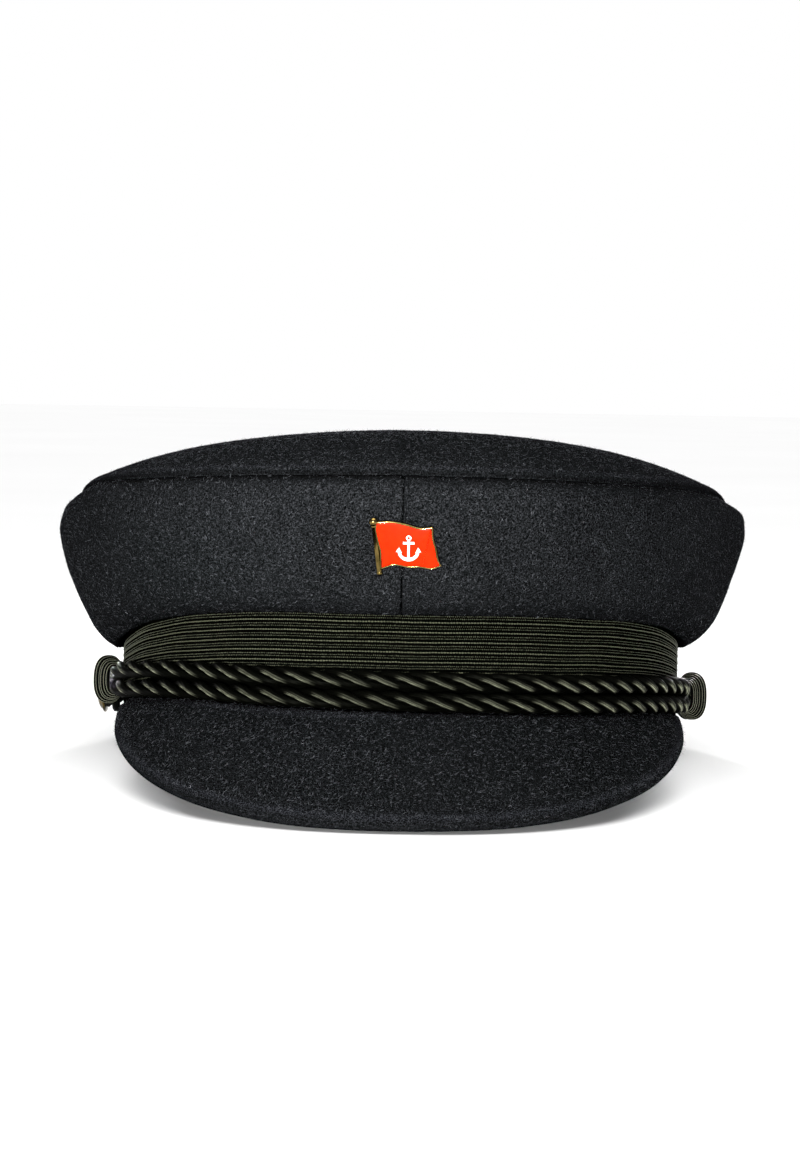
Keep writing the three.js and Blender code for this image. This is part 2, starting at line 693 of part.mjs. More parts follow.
function pinBody() {
  const plate = toSolid(slab(flagShape(0), PIN_PLATE, 0));
  const recess = toSolid(slab(flagShape(PIN_RIM), PIN_PLATE, PIN_PLATE - PIN_RECESS));
  const head = onFlag(POLE_TOP, PIN_PLATE / 2);
  const foot = onFlag(POLE_FOOT, PIN_PLATE / 2);
  const pole = new THREE.CylinderGeometry(POLE_DIAMETER / 2, POLE_DIAMETER / 2, head.distanceTo(foot), 8);
  const up = head.clone().sub(foot).normalize();
  pole.applyQuaternion(new THREE.Quaternion().setFromUnitVectors(new THREE.Vector3(0, 1, 0), up));
  pole.translate(...head.clone().add(foot).multiplyScalar(0.5).toArray());
  const ball = new THREE.SphereGeometry(POLE_BALL / 2, 8, 6).translate(...head.toArray());
  const knob = new THREE.SphereGeometry(POLE_DIAMETER * 0.6, 8, 6).translate(...foot.toArray());
  return toGeometry(plate.subtract(recess).add(toSolid(pole)).add(toSolid(ball)).add(toSolid(knob)));
}

function pinEnamel() {
  return slab(flagShape(PIN_RIM + ENAMEL_GAP), ENAMEL_DEPTH, PIN_PLATE - PIN_RECESS + ENAMEL_GAP);
}

// A plain anchor: ring, shank, stock and curved arms with flukes, joined into one piece.
function pinMotif() {
  const unit = MOTIF_HEIGHT;
  const base = PIN_PLATE - PIN_RECESS + 2 * ENAMEL_GAP + ENAMEL_DEPTH;
  const ring = new THREE.Shape().absarc(0, unit * 0.42, unit * 0.1, 0, 2 * Math.PI);
  ring.holes.push(new THREE.Path().absarc(0, unit * 0.42, unit * 0.045, 0, 2 * Math.PI, true));
  const bar = (x0, y0, x1, y1) =>
    new THREE.Shape([
      new THREE.Vector2(x0, y0),
      new THREE.Vector2(x1, y0),
      new THREE.Vector2(x1, y1),
      new THREE.Vector2(x0, y1),
    ]);
  const arms = new THREE.Shape();
  arms.absarc(0, -unit * 0.08, unit * 0.4, Math.PI * 1.06, Math.PI * 1.94);
  arms.absarc(0, -unit * 0.04, unit * 0.31, Math.PI * 1.92, Math.PI * 1.08, true);
  const fluke = (side) =>
    new THREE.Shape([
      new THREE.Vector2(side * unit * 0.46, -unit * 0.12),
      new THREE.Vector2(side * unit * 0.35, unit * 0.06),
      new THREE.Vector2(side * unit * 0.24, -unit * 0.17),
    ]);
  const shapes = [
    ring,
    bar(-unit * 0.045, -unit * 0.42, unit * 0.045, unit * 0.34),
    bar(-unit * 0.21, unit * 0.18, unit * 0.21, unit * 0.27),
    arms,
    fluke(1),
    fluke(-1),
  ];
  const solids = shapes.map((shape) => toSolid(slab(shape, MOTIF_RELIEF, base)));
  return toGeometry(solids.reduce((joined, solid) => joined.add(solid)));
}

// Post and clutch: through the felt behind the plate, and out on its inner face.
function pinPost() {
  const wall = CROWN_WALL + CLUTCH_CLEARANCE;
  const post = POST_DIAMETER / 2;
  const clutch = CLUTCH_DIAMETER / 2;
  return turned([
    [0, -wall - CLUTCH_DEPTH],
    [clutch / 2, -wall - CLUTCH_DEPTH],
    [clutch, -wall - CLUTCH_DEPTH * 0.4],
    [clutch, -wall],
    [post, -wall],
    [post, -GAP],
    [0, -GAP],
  ]);
}

// A body turned about Z, from a profile of radius and height that runs upward.
function turned(profile) {
  const lathe = new THREE.LatheGeometry(profile.map(([x, y]) => new THREE.Vector2(x, y)), 10);
  return lathe.rotateX(Math.PI / 2);
}

// Where the pin sits: on the outer face of the front panel, leaning with it.
function pinFrame() {
  const { fold, seam } = crownHeights(0);
  const rise = (PIN_CENTRE_HEIGHT - fold) / (seam - fold);
  const reachAt = (share) => {
    const rows = SIDE_ROWS.map((row) => ({ rise: row.rise, reach: (row.left + row.right) / 2 }));
    return CROWN_OVERHANG * readTable(rows, "rise", "reach", share);
  };
  const step = 0.12;
  const lean = Math.atan2(reachAt(rise + step) - reachAt(rise - step), 2 * step * (seam - fold));
  const front = -HEAD_LENGTH / 2 - BAND_OUTER - reachAt(rise);
  const frame = new THREE.Group();
  frame.rotation.set(Math.PI / 2 + lean, 0, 0);
  const away = new THREE.Vector3(0, -Math.cos(lean), -Math.sin(lean));
  frame.position.set(PIN_CENTRE_X, front, PIN_CENTRE_HEIGHT).addScaledVector(away, GAP * 1.5);
  return frame;
}

function named(name, geometry, look) {
  const mesh = new THREE.Mesh(geometry, new THREE.MeshStandardMaterial(look));
  mesh.name = name;
  return mesh;
}

// The panel with a hole for the pin's post
function panelWithPostHole(geometry, frame) {
  const reach = CROWN_WALL * 3;
  const radius = POST_DIAMETER / 2 + GAP;
  const hole = turned([
    [0, -reach],
    [radius, -reach],
    [radius, reach],
    [0, reach],
  ]);
  hole.translate(POST_OFFSET, 0, 0);
  frame.updateMatrix();
  hole.applyMatrix4(frame.matrix);
  return toGeometry(toSolid(geometry).subtract(toSolid(hole)));
}

const hat = new THREE.Group();
const pin = pinFrame();
pin.add(named("pin_body", pinBody(), BRASS));
pin.add(named("pin_enamel", pinEnamel(), RED_ENAMEL));
pin.add(named("pin_motif", pinMotif(), WHITE_ENAMEL));
const post = named("pin_post", pinPost(), BRASS);
post.position.x = POST_OFFSET;
pin.add(post);

hat.add(named("head_band", headBand(), FELT));
hat.add(named("ribbed_band", ribbedBand(), BRAID));
hat.add(named("crown_side_left", panelWithPostHole(crownSide(-180, 0, -GAP / 2), pin), FELT));
hat.add(named("crown_side_right", crownSide(0, 180, GAP / 2), FELT));
hat.add(named("crown_tip", crownTip(), FELT));
hat.add(named("peak", peak(), FELT));
hat.add(named("cord", cord(), BRAID));
hat.add(named("keeper_left", keeper(-1), BRAID));
hat.add(named("keeper_right", keeper(1), BRAID));
hat.add(placeButton(named("button_left", button(), BRASS), -1));
hat.add(placeButton(named("button_right", button(), BRASS), 1));
hat.add(pin);

// Lay the hat down on the surface, with the middle of its box over the origin.
hat.rotation.x = -restTilt;
const group = new THREE.Group();
group.add(hat);
group.updateMatrixWorld(true);
const box = new THREE.Box3().setFromObject(group, true);
hat.position.set(-(box.min.x + box.max.x) / 2, -(box.min.y + box.max.y) / 2, -box.min.z);

export default group;
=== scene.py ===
# Looks of a black felt captain's hat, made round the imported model. Blender's objects are in metres.
# Shapes are drawn in millimetres in the level hat, its front at -Y and Z = 0 where the peak leaves the band,
# and then tilted back onto the surface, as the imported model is. Angles are degrees round the head from the
# front, and grow to the right as seen from the front.
import math

import bpy
import numpy as np
from mathutils import Matrix, Vector


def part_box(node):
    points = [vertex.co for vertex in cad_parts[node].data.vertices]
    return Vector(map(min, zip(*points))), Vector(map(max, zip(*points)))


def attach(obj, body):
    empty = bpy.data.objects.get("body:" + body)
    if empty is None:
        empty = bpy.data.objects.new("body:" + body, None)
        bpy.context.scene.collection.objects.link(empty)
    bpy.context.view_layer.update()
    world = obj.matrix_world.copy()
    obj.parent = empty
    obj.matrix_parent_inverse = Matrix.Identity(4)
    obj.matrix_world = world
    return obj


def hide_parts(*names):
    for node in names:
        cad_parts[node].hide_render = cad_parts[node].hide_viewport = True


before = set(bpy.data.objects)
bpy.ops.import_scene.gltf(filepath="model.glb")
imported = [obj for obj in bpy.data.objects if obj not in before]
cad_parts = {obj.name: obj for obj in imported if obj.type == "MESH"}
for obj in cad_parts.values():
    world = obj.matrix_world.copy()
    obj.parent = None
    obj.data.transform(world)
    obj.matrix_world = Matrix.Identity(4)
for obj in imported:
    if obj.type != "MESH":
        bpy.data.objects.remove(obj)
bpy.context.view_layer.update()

MM = 0.001
UP = np.array([0, 0, 1.0])
RIGHT = np.array([1.0, 0, 0])


def table(columns, *rows):
    """Rows of values under named columns."""
    return [dict(zip(columns.split(), row)) for row in rows]


# Head opening and bands
HEAD_LENGTH = 198
HEAD_WIDTH = 162
GAP = 0.3
HEAD_BAND_WALL = 2
HEAD_BAND_DROP = 4
BAND_TOP = 26.4
RIBBED_BAND_WALL = 1.2
RIBBED_BAND_DROP = 2.6
RIB_RELIEF = 0.5
RIB_PITCH = 2.7
TOP_RIB_HEIGHT = 23.3
BEAD_PITCH = 0.9
DOT_PITCH = 0.62
BAND_OUTER = HEAD_BAND_WALL + GAP + RIBBED_BAND_WALL + RIB_RELIEF

# Crown
CROWN_WALL = 2
CROWN_OVERHANG = 20.4
SEAM_HEIGHT = 63.3
FOLD_HEIGHT = 25.2
TIP_RISE = 20.6
TIP_LEAN = 0.7
TIP_FULLNESS = 0.73
TIP_COLUMNS = 560
WELT_WIDTH = 3.2
WELT_RELIEF = 0.7

# Felt of the side panels, in millimetres: broad swells, finer ripples, and gathers just above the fold
# Width of the painted shade lines along the front and back seams
SEAM_SHADE_WIDTH = 0.28
PANEL_STEP = 0.72
SEAM_STEP = 0.8
SWELL = 0.45
RIPPLE = 0.12
GATHER = 0.34
GATHER_PITCH = 4.5

# Rows of a side panel's face from the fold to the seam: first and last rise of each run, and its rows
PANEL_RUNS = [(0, 0.12, 12), (0.135, 0.8, 36), (0.82, 1, 14)]

# Felt turned up behind the fold: how far it stands out from the band, and its height above the fold
FOLD_TUCK = [(0, 5), (0, 2.4), (0.25, 1.1), (0.9, 0.25)]

# Felt turned in at the tip's seam: how far inward, and how far down
SEAM_TURN = [(0.9, 0.05), (1.5, 0.6), (1.7, 2)]

# Ridges and grooves of a side panel beside the seams between the panels, and below the tip's seam
PANEL_SEAM = table(
    "place width height",
    (0, 0.28, -0.9),
    (2, 1.2, 0.12),
)
UNDER_TIP_SEAM = table(
    "place width height",
    (0, 1.5, -0.2),
    (3.4, 1.6, 0.15),
)

# Peak
PEAK_WALL = 2.6
PEAK_SIDE_OVERHANG = 0.6
PEAK_REACH = 43
PEAK_DROP = 26.2
PEAK_END_HEIGHT = -3.6
PEAK_END_SETBACK = 36
PEAK_ROOT_HEIGHT = -2
PEAK_ARCH = 2.2
PEAK_SQUARENESS = 2.4
PEAK_EDGE_SAG = 1.15
PEAK_ROOT_ANGLE = 68
PEAK_LAST_ANGLE = 89.5
EDGE_BEAD_WIDTH = 3.6
EDGE_BEAD_SWELL = 1.3
REAR_FLAT = 1.5
PEAK_FLAT = 0.6

# Cord, keepers and buttons
CORD_DIAMETER = 5.2
CORD_LEAD = 22
CORD_MID_HEIGHT = 4.9
PLY_OFFSET = 1.5
PLY_RADIUS = 1.06
PLY_STRANDS = 7
PLY_RELIEF = 0.07
CORD_STEP = 0.9
CORD_SLACK = 0.42
END_SWELL = 0.12
# Share of the cord's painted sheen at the front, rising to all of it at the ends
PAINTED_SHEEN_FRONT = 0.23
KEEPER_ANGLE = 83
KEEPER_LENGTH = 8.4
KEEPER_WALL = 1.1
KEEPER_CLEARANCE = 0.45
KEEPER_NOSE = 7
KEEPER_THIN = 0.42
KEEPER_TURNS = {-1: 6, 1: 7}
BUTTON_ANGLE = 92
BUTTON_DIAMETER = 13.5
BUTTON_HEAD = 3.1
SHANK_DIAMETER = 2.4
BUTTON_HEIGHT = {-1: 2.3, 1: 3.2}

# Flag pin
PIN_WIDTH = 17.6
PIN_HEIGHT = 12.3
PIN_PLATE = 1.4
PIN_RIM = 0.45
PIN_CENTRE_X = 1.6
PIN_CENTRE_HEIGHT = 43
PIN_RECESS = 0.7
MOTIF_HEIGHT = 7.2
MOTIF_RELIEF = 0.35
POLE_DIAMETER = 1.4
POLE_BALL = 2.4
POST_DIAMETER = 1.2
POST_OFFSET = -4.5
CLUTCH_DIAMETER = 7.5
CLUTCH_CLEARANCE = 1.4
CLUTCH_DEPTH = 3

# Crown heights round the head: shares of FOLD_HEIGHT and SEAM_HEIGHT, by degrees from the front
CROWN_ROUND = table(
    "angle fold seam",
    (-180, 0.86, 0.965),
    (-135, 0.76, 0.98),
    (-90, 0.62, 0.968),
    (-75, 0.72, 0.975),
    (-58, 0.89, 0.995),
    (-35, 1.005, 0.985),
    (0, 1, 0.98),
    (35, 1.005, 0.985),
    (58, 0.96, 0.995),
    (75, 0.83, 0.975),
    (90, 0.74, 0.965),
    (135, 0.8, 0.98),
    (180, 0.86, 0.965),
)

# Crown side from the fold up to the seam: rise as a share of that height, left and right of CROWN_OVERHANG
SIDE_ROWS = table(
    "rise left right",
    (0, 0.11, 0.11),
    (0.045, 0.27, 0.27),
    (0.11, 0.41, 0.42),
    (0.21, 0.54, 0.56),
    (0.37, 0.71, 0.7),
    (0.56, 0.87, 0.84),
    (0.76, 0.965, 0.955),
    (0.88, 0.925, 0.945),
    (0.94, 0.84, 0.88),
    (1, 0.68, 0.69),
)

# Lift of the doubled cord round the front: shares of CORD_DIAMETER, by degrees from the front
CORD_ROUND = table(
    "angle lift",
    (-90, 0.2),
    (-76, 0.2),
    (-45, 0.36),
    (-24, 0.14),
    (0, 0),
    (30, -0.06),
    (60, -0.06),
    (76, -0.2),
    (90, -0.2),
)

# Flag outline, anticlockwise from the foot of the hoist: shares of PIN_WIDTH and PIN_HEIGHT
FLAG_OUTLINE = [
    (0.08, 0), (0.18, 0.06), (0.29, 0.11), (0.41, 0.08), (0.51, 0.06), (0.64, 0.07), (0.72, 0.05),
    (0.86, 0.03), (1, 0.11), (0.95, 0.27), (0.92, 0.49), (0.87, 0.74), (0.86, 1), (0.67, 0.97),
    (0.47, 1.05), (0.23, 1.11), (0, 1.09), (-0.01, 0.9), (0.03, 0.63), (0.07, 0.4), (0.07, 0.15),
]
FLAG_CORNERS = (0, 8, 12, 16)
POLE_TOP = (-0.03, 1.08)
POLE_FOOT = (0.07, -0.08)


def read_table(rows, place, column, at):
    """A column of a table at places between its rows, on a smooth curve through them."""
    x = np.array([row[place] for row in rows], float)
    y = np.array([row[column] for row in rows], float)
    slope = np.empty_like(y)
    slope[1:-1] = (y[2:] - y[:-2]) / (x[2:] - x[:-2])
    slope[0] = (y[1] - y[0]) / (x[1] - x[0])
    slope[-1] = (y[-1] - y[-2]) / (x[-1] - x[-2])
    at = np.clip(np.asarray(at, float), x[0], x[-1])
    k = np.clip(np.searchsorted(x, at, side="right") - 1, 0, len(x) - 2)
    span = x[k + 1] - x[k]
    t = (at - x[k]) / span
    rest = 1 - t
    ends = y[k] * (1 + 2 * t) * rest * rest + y[k + 1] * t * t * (3 - 2 * t)
    return ends + slope[k] * span * t * rest * rest - slope[k + 1] * span * t * t * rest


def smoothstep(x, low, high):
    t = np.clip((np.asarray(x, float) - low) / (high - low), 0, 1)
    return t * t * (3 - 2 * t)


def unit(vectors):
    return vectors / np.maximum(np.linalg.norm(vectors, axis=-1, keepdims=True), 1e-12)


def dot(a, b):
    return np.sum(a * b, axis=-1, keepdims=True)


def full_turn(steps):
    return 2 * np.pi * np.arange(steps) / steps


def sided(name, side):
    return name + ("_left" if side < 0 else "_right")


def bell(distance, width):
    return np.exp(-((distance / width) ** 2))


def relief(rows, distance):
    """Soft ridges and grooves along a line, by the distance from it."""
    return sum(row["height"] * bell(distance - row["place"], row["width"]) for row in rows)


def oval_normal(angle):
    turn = np.radians(np.asarray(angle, float))
    x, y = HEAD_LENGTH * np.sin(turn), -HEAD_WIDTH * np.cos(turn)
    return unit(np.stack([x, y, np.zeros_like(x)], axis=-1))


def oval(angle, offset, height):
    """Points of the head's oval, grown outward by an offset."""
    angle, offset, height = np.broadcast_arrays(np.asarray(angle, float), offset, height)
    turn = np.radians(angle)
    outward = oval_normal(angle)
    x = HEAD_WIDTH / 2 * np.sin(turn) + offset * outward[..., 0]
    y = -HEAD_LENGTH / 2 * np.cos(turn) + offset * outward[..., 1]
    return np.stack([x, y, height.astype(float)], axis=-1)


def waves(seed, *fields, count=6, low=0.6, high=1.8):
    """A smooth random field from -1 to 1: a sum of waves over the given fields, one unit to a wave or so."""
    rng = np.random.default_rng(seed)
    total = 0
    for _ in range(count):
        direction = rng.normal(size=len(fields))
        direction /= np.linalg.norm(direction)
        rate = 2 * np.pi * rng.uniform(low, high)
        phase = rng.uniform(0, 2 * np.pi)
        total = total + np.sin(rate * sum(d * f for d, f in zip(direction, fields)) + phase)
    return total / count


# Where the level hat lies in the frame
def peak_edge(angle):
    turn = np.radians(np.asarray(angle, float))
    power = 2 / PEAK_SQUARENESS
    across = np.sign(turn) * np.abs(np.sin(turn)) ** power
    along = np.abs(np.cos(turn)) ** power
    reach = HEAD_LENGTH / 2 + BAND_OUTER + PEAK_REACH - PEAK_END_SETBACK
    y = -PEAK_END_SETBACK - reach * along
    half_width = HEAD_WIDTH / 2 + PEAK_SIDE_OVERHANG
    return np.stack([half_width * across, y, PEAK_END_HEIGHT - PEAK_DROP * along**PEAK_EDGE_SAG], axis=-1)


rest_rise = REAR_FLAT - HEAD_BAND_DROP - (peak_edge(0)[2] - PEAK_WALL * EDGE_BEAD_SWELL / 2 + PEAK_FLAT)
rest_reach = HEAD_LENGTH / 2 + HEAD_BAND_WALL - peak_edge(0)[1]
TILT = math.atan2(rest_rise, rest_reach)
band_low, band_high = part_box("head_band")
half_outer = HEAD_LENGTH / 2 + HEAD_BAND_WALL
LEVEL_TO_FRAME = Matrix.Rotation(-TILT, 4, "X")
LEVEL_TO_FRAME.translation = Vector((
    (band_low.x + band_high.x) / 2,
    band_low.y + MM * (half_outer * math.cos(TILT) + HEAD_BAND_DROP * math.sin(TILT)),
    band_high.z - MM * (half_outer * math.sin(TILT) + BAND_TOP * math.cos(TILT)),
))


def to_frame(points):
    """Points of the level hat in millimetres as points of the frame in metres, none under the surface."""
    turn = np.array(LEVEL_TO_FRAME.to_3x3())
    placed = points.reshape(-1, 3) * MM @ turn.T + np.array(LEVEL_TO_FRAME.translation)
    placed[:, 2] = np.maximum(placed[:, 2], 0)
    return placed


# Meshes
def grid_quads(rows, columns, ring=False, close=False, start=0):
    """Quads of a grid of points, closed across its columns if ring, and from last row to first if close."""
    i = np.arange(rows if close else rows - 1)[:, None]
    j = np.arange(columns if ring else columns - 1)[None, :]
    here, there = (i % rows) * columns, ((i + 1) % rows) * columns
    k = (j + 1) % columns
    return start + np.stack([here + j, here + k, there + k, there + j], axis=-1).reshape(-1, 4)


def fan(start, columns, centre, turned_over=False):
    """Triangles from a ring of points to the point at its middle."""
    here = start + np.arange(columns)
    faces = np.stack([here, np.roll(here, -1), np.full(columns, centre)], axis=-1)
    return faces[:, [1, 0, 2]] if turned_over else faces


def folded_sheet(rows, columns, pairs):
    """Faces of a sheet whose rows go round a loop: its skin, and its ends across pairs of rows that meet."""
    i = np.arange(pairs)
    end = np.stack([i, i + 1, rows - 2 - i, rows - 1 - i], axis=-1) * columns
    return np.concatenate([grid_quads(rows, columns, close=True), end, (end + columns - 1)[:, ::-1]])


def set_at(points, place, x, y, z):
    """Points drawn about an origin, moved to a place and turned to three directions."""
    return place + points[..., :1] * x + points[..., 1:2] * y + points[..., 2:] * z


def add_object(name, data):
    thing = bpy.data.objects.new(name, data)
    bpy.context.scene.collection.objects.link(thing)
    return thing


def make_piece(name, points, faces, look, nodes, slot, smooth=True, **shades):
    """A mesh piece of the level hat, riding on the hat's one body. faces is an array, or a list of arrays.

    Shades are named shares at each point from 0 to 1: how much painted highlight or painted shade the felt
    gets.
    """
    mesh = bpy.data.meshes.new(name)
    groups = faces if isinstance(faces, list) else [faces]
    corners = np.concatenate([g.reshape(-1) for g in groups])
    totals = np.concatenate([np.full(len(g), g.shape[1]) for g in groups])
    starts = np.concatenate([[0], np.cumsum(totals)[:-1]])
    mesh.vertices.add(points.size // 3)
    mesh.vertices.foreach_set("co", to_frame(points).astype(np.float32).ravel())
    mesh.loops.add(len(corners))
    mesh.loops.foreach_set("vertex_index", corners.astype(np.int32))
    mesh.polygons.add(len(totals))
    mesh.polygons.foreach_set("loop_start", starts.astype(np.int32))
    mesh.polygons.foreach_set("use_smooth", np.full(len(totals), smooth))
    mesh.update(calc_edges=True)
    mesh.validate()
    for key, share in shades.items():
        attribute = mesh.attributes.new(key, "FLOAT", "POINT")
        attribute.data.foreach_set("value", np.asarray(share, np.float32).ravel())
    piece = add_object(name, mesh)
    mesh.materials.append(look)
    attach(piece, "root")
    if nodes:
        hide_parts(*nodes)
    return piece


def grid_normals(points, ring=False):
    """Outward normals of a grid whose rows run up and whose columns run to the right, seen from outside."""
    up = np.gradient(points, axis=0)
    if ring:
        along = (np.roll(points, -1, axis=1) - np.roll(points, 1, axis=1)) / 2
    else:
        along = np.gradient(points, axis=1)
    return unit(np.cross(along, up))


def tubes(paths, radii, sides, closed, towards=None, strands=0, relief=0, depth=1):
    """Round tubes along many paths at once: paths is (tubes, steps, 3), radii one number or (tubes, steps).

    Relief cuts grooves between a tube's strands, and depth is its share of thickness on the side it faces.
    """
    count, steps, _ = paths.shape
    if closed:
        along = unit(np.roll(paths, -1, axis=1) - np.roll(paths, 1, axis=1))
    else:
        along = unit(np.gradient(paths, axis=1))
    side = np.broadcast_to(UP if towards is None else towards, paths.shape)
    side = unit(side - dot(side, along) * along)
    third = np.cross(along, side)
    turn = full_turn(sides)[None, None, :, None]
    ridges = 1 + relief * (2 * np.abs(np.cos(turn[0, 0, :, 0] * strands / 2)) - 1)
    radii = np.broadcast_to(radii, (count, steps))[..., None] * ridges
    ring = depth * np.cos(turn) * side[:, :, None, :] + np.sin(turn) * third[:, :, None, :]
    points = paths[:, :, None, :] + radii[..., None] * ring
    size = steps * sides
    quads = [grid_quads(steps, sides, ring=True, close=closed, start=size * n) for n in range(count)]
    groups = [np.concatenate(quads)[:, ::-1]]
    if not closed:
        ends = np.arange(sides)
        caps = [np.stack([size * n + ends, size * (n + 1) - 1 - ends]) for n in range(count)]
        groups.append(np.concatenate(caps))
    return points, groups


# Materials
class Look:
    """A material being made, with its nodes and the object's own place, at which its noises are drawn."""

    def __init__(self, name):
        self.material = bpy.data.materials.new(name)
        self.material.use_nodes = True
        self.tree = self.material.node_tree
        self.place = self.node("ShaderNodeTexCoord").outputs["Object"]

    def put(self, socket, value):
        """Sets a socket to a value, or links it where the value is the output of a node."""
        if hasattr(value, "is_output"):
            self.tree.links.new(value, socket)
        else:
            socket.default_value = value

    def node(self, kind, **values):
        """A node with its inputs and properties set by name."""
        node = self.tree.nodes.new(kind)
        for key, value in values.items():
            if key in node.inputs:
                self.put(node.inputs[key], value)
            else:
                setattr(node, key, value)
        return node

    def noise(self, scale, detail, roughness=0.6):
        values = {"Vector": self.place, "Scale": scale, "Detail": detail, "Roughness": roughness}
        return self.node("ShaderNodeTexNoise", **values).outputs["Fac"]

    def attribute(self, name):
        return self.node("ShaderNodeAttribute", attribute_name=name).outputs["Fac"]

    def ramp(self, share, *stops):
        """A color or a grey value at each stop, blended by the share."""
        ramp = self.node("ShaderNodeValToRGB", Fac=share)
        elements = ramp.color_ramp.elements
        while len(elements) < len(stops):
            elements.new(0.5)
        for element, (place, color) in zip(elements, stops):
            element.position = place
            element.color = (*(color if isinstance(color, tuple) else (color,) * 3), 1)
        return ramp.outputs["Color"]

    def mix(self, share, first, second, kind="MIX"):
        mix = self.node("ShaderNodeMix", data_type="RGBA", blend_type=kind)
        for index, value in ((0, share), (6, first), (7, second)):
            self.put(mix.inputs[index], value)
        return mix.outputs[2]

    def bump(self, height, distance, strength):
        values = {"Height": height, "Distance": distance, "Strength": strength}
        return self.node("ShaderNodeBump", **values).outputs["Normal"]

    def finish(self, values):
        shader = self.tree.nodes["Principled BSDF"]
        for key, value in values.items():
            self.put(shader.inputs[key], value)
        return self.material


def grey(value, blue=1.09):
    return (value * 0.95, value, value * blue)


# Waves of noise to the metre, and how painted highlight and painted shade change the felt's colour
FELT_GRAIN = 2800
FELT_TUFTS = 900
FELT_PATCHES = 38
FIBRE_GRAIN = 700
BRAID_GRAIN = 2600
CORD_GRAIN = 3200
TARNISH = 260
ENAMEL_DEPTHS = 420
FELT_SHADES = {"rubbed": (2.2, 2.2, 2.3), "deep": (0.12, 0.12, 0.12)}


def felt_material(name, dark, middle, light):
    """Milled wool: matted fibres that read as fine light specks on near black, with a broad soft mottle."""
    look = Look(name)
    fine = look.noise(FELT_GRAIN, 2)
    color = look.ramp(fine, (0.36, grey(dark)), (0.5, grey(middle)), (0.66, grey(light)))
    layers = [look.ramp(look.noise(FELT_TUFTS, 2), (0.3, 0.78), (0.7, 1.2))]
    layers.append(look.ramp(look.noise(FELT_PATCHES, 3), (0.3, 0.86), (0.7, 1.12)))
    # Painted light from the point attributes: paler where a highlight is painted, darker where shade is
    # painted
    layers += [look.ramp(look.attribute(key), (0, 1), (1, change)) for key, change in FELT_SHADES.items()]
    for layer in layers:
        color = look.mix(1, color, layer, "MULTIPLY")
    normal = look.bump(fine, 0.00015, 0.7)
    return look.finish({"Base Color": color, "Roughness": 0.9, "Specular IOR Level": 0, "Normal": normal})


def fibre_material(name, dark, light):
    look = Look(name)
    tone = look.ramp(look.noise(FIBRE_GRAIN, 2), (0.35, grey(dark)), (0.65, grey(light)))
    return look.finish({"Base Color": tone, "Roughness": 0.7, "Specular IOR Level": 0.05})


def yarn_material(name, dark, light, roughness, scale, gloss, sheen_color=(0, 0, 0)):
    """Lustrous yarn: fine filaments, and a painted sheen, a paler colour blended in by the pale attribute
    where they would catch the light.
    """
    look = Look(name)
    filaments = look.noise(scale, 3, 0.7)
    tone = look.ramp(filaments, (0.35, dark), (0.65, light))
    sheen = look.ramp(filaments, (0.3, tuple(0.35 * c for c in sheen_color)), (0.6, sheen_color))
    # The pale attribute blends in the painted sheen: a painted highlight on the yarn
    return look.finish({
        "Base Color": look.mix(look.attribute("pale"), tone, sheen),
        "Roughness": roughness,
        "Specular IOR Level": gloss,
        "Specular Tint": (0.92, 0.95, 0.78, 1),
        "Normal": look.bump(filaments, 0.00001, 0.6),
    })


def brass_material(name, dark, light):
    look = Look(name)
    tarnish = look.noise(TARNISH, 4)
    return look.finish({
        "Base Color": look.ramp(tarnish, (0.35, dark), (0.6, light)),
        "Roughness": look.ramp(tarnish, (0.3, 0.22), (0.7, 0.1)),
        "Metallic": 1,
        "Normal": look.bump(look.noise(2200, 2), 0.00003, 0.4),
    })


def enamel_material(name, low, high):
    look = Look(name)
    return look.finish({
        "Base Color": look.ramp(look.noise(ENAMEL_DEPTHS, 3), (0.35, low), (0.65, high)),
        "Roughness": 0.3,
        "Specular IOR Level": 0.04,
        "Normal": look.bump(look.noise(300, 2), 0.00008, 0.3),
    })


FELT = felt_material("black_felt", 0.0005, 0.0043, 0.02)
# A darker copy of the felt for the peak: painted shade for the peak, which faces up, away from the frontal
# light
PEAK_SHADED_FELT = felt_material("peak_shaded_felt", 0.0003, 0.0031, 0.015)
# Near-black felt for the painted shade along the seams between the side panels
SEAM_SHADE_FELT = felt_material("seam_painted_shade", 0.0001, 0.0003, 0.0008)
FIBRE = fibre_material("felt_fibre", 0.012, 0.095)
LINT = fibre_material("lint", 0.2, 0.4)
BLACK = (0.0001, 0.0001, 0.0001)
# Near-black braid ground: the braid's own dark colour, darkened further as painted shade in the hollows
# between its ribs and dots
BRAID_GROUND = yarn_material("braid_ground", BLACK, (0.0008, 0.0009, 0.0006), 0.8, BRAID_GRAIN, 0.0)
BRAID_RIB = yarn_material("braid_rib", (0.014, 0.015, 0.009), (0.058, 0.061, 0.038), 0.4, BRAID_GRAIN, 0.15)
BRAID_DOT = yarn_material("braid_dot", (0.011, 0.012, 0.0075), (0.046, 0.049, 0.031), 0.4, BRAID_GRAIN, 0.15)
# Colour of the painted sheen on the cord's yarn
CORD_SHEEN = (0.5, 0.52, 0.365)
CORD_YARN = yarn_material("cord_yarn", BLACK, (0.001, 0.0011, 0.0007), 0.5, CORD_GRAIN, 0.012, CORD_SHEEN)
BRASS = brass_material("polished_brass", (0.1, 0.072, 0.02), (0.24, 0.17, 0.055))
# A darker copy of the brass for the buttons: painted shade for the shade they sit in under the cord's loops
SHADED_BRASS = brass_material("shaded_brass", (0.04, 0.032, 0.01), (0.16, 0.115, 0.035))
RED_ENAMEL = enamel_material("red_enamel", (0.5, 0.0095, 0.0004), (0.56, 0.0125, 0.0008))
WHITE_ENAMEL = enamel_material("white_enamel", (0.5, 0.485, 0.44), (0.56, 0.545, 0.5))


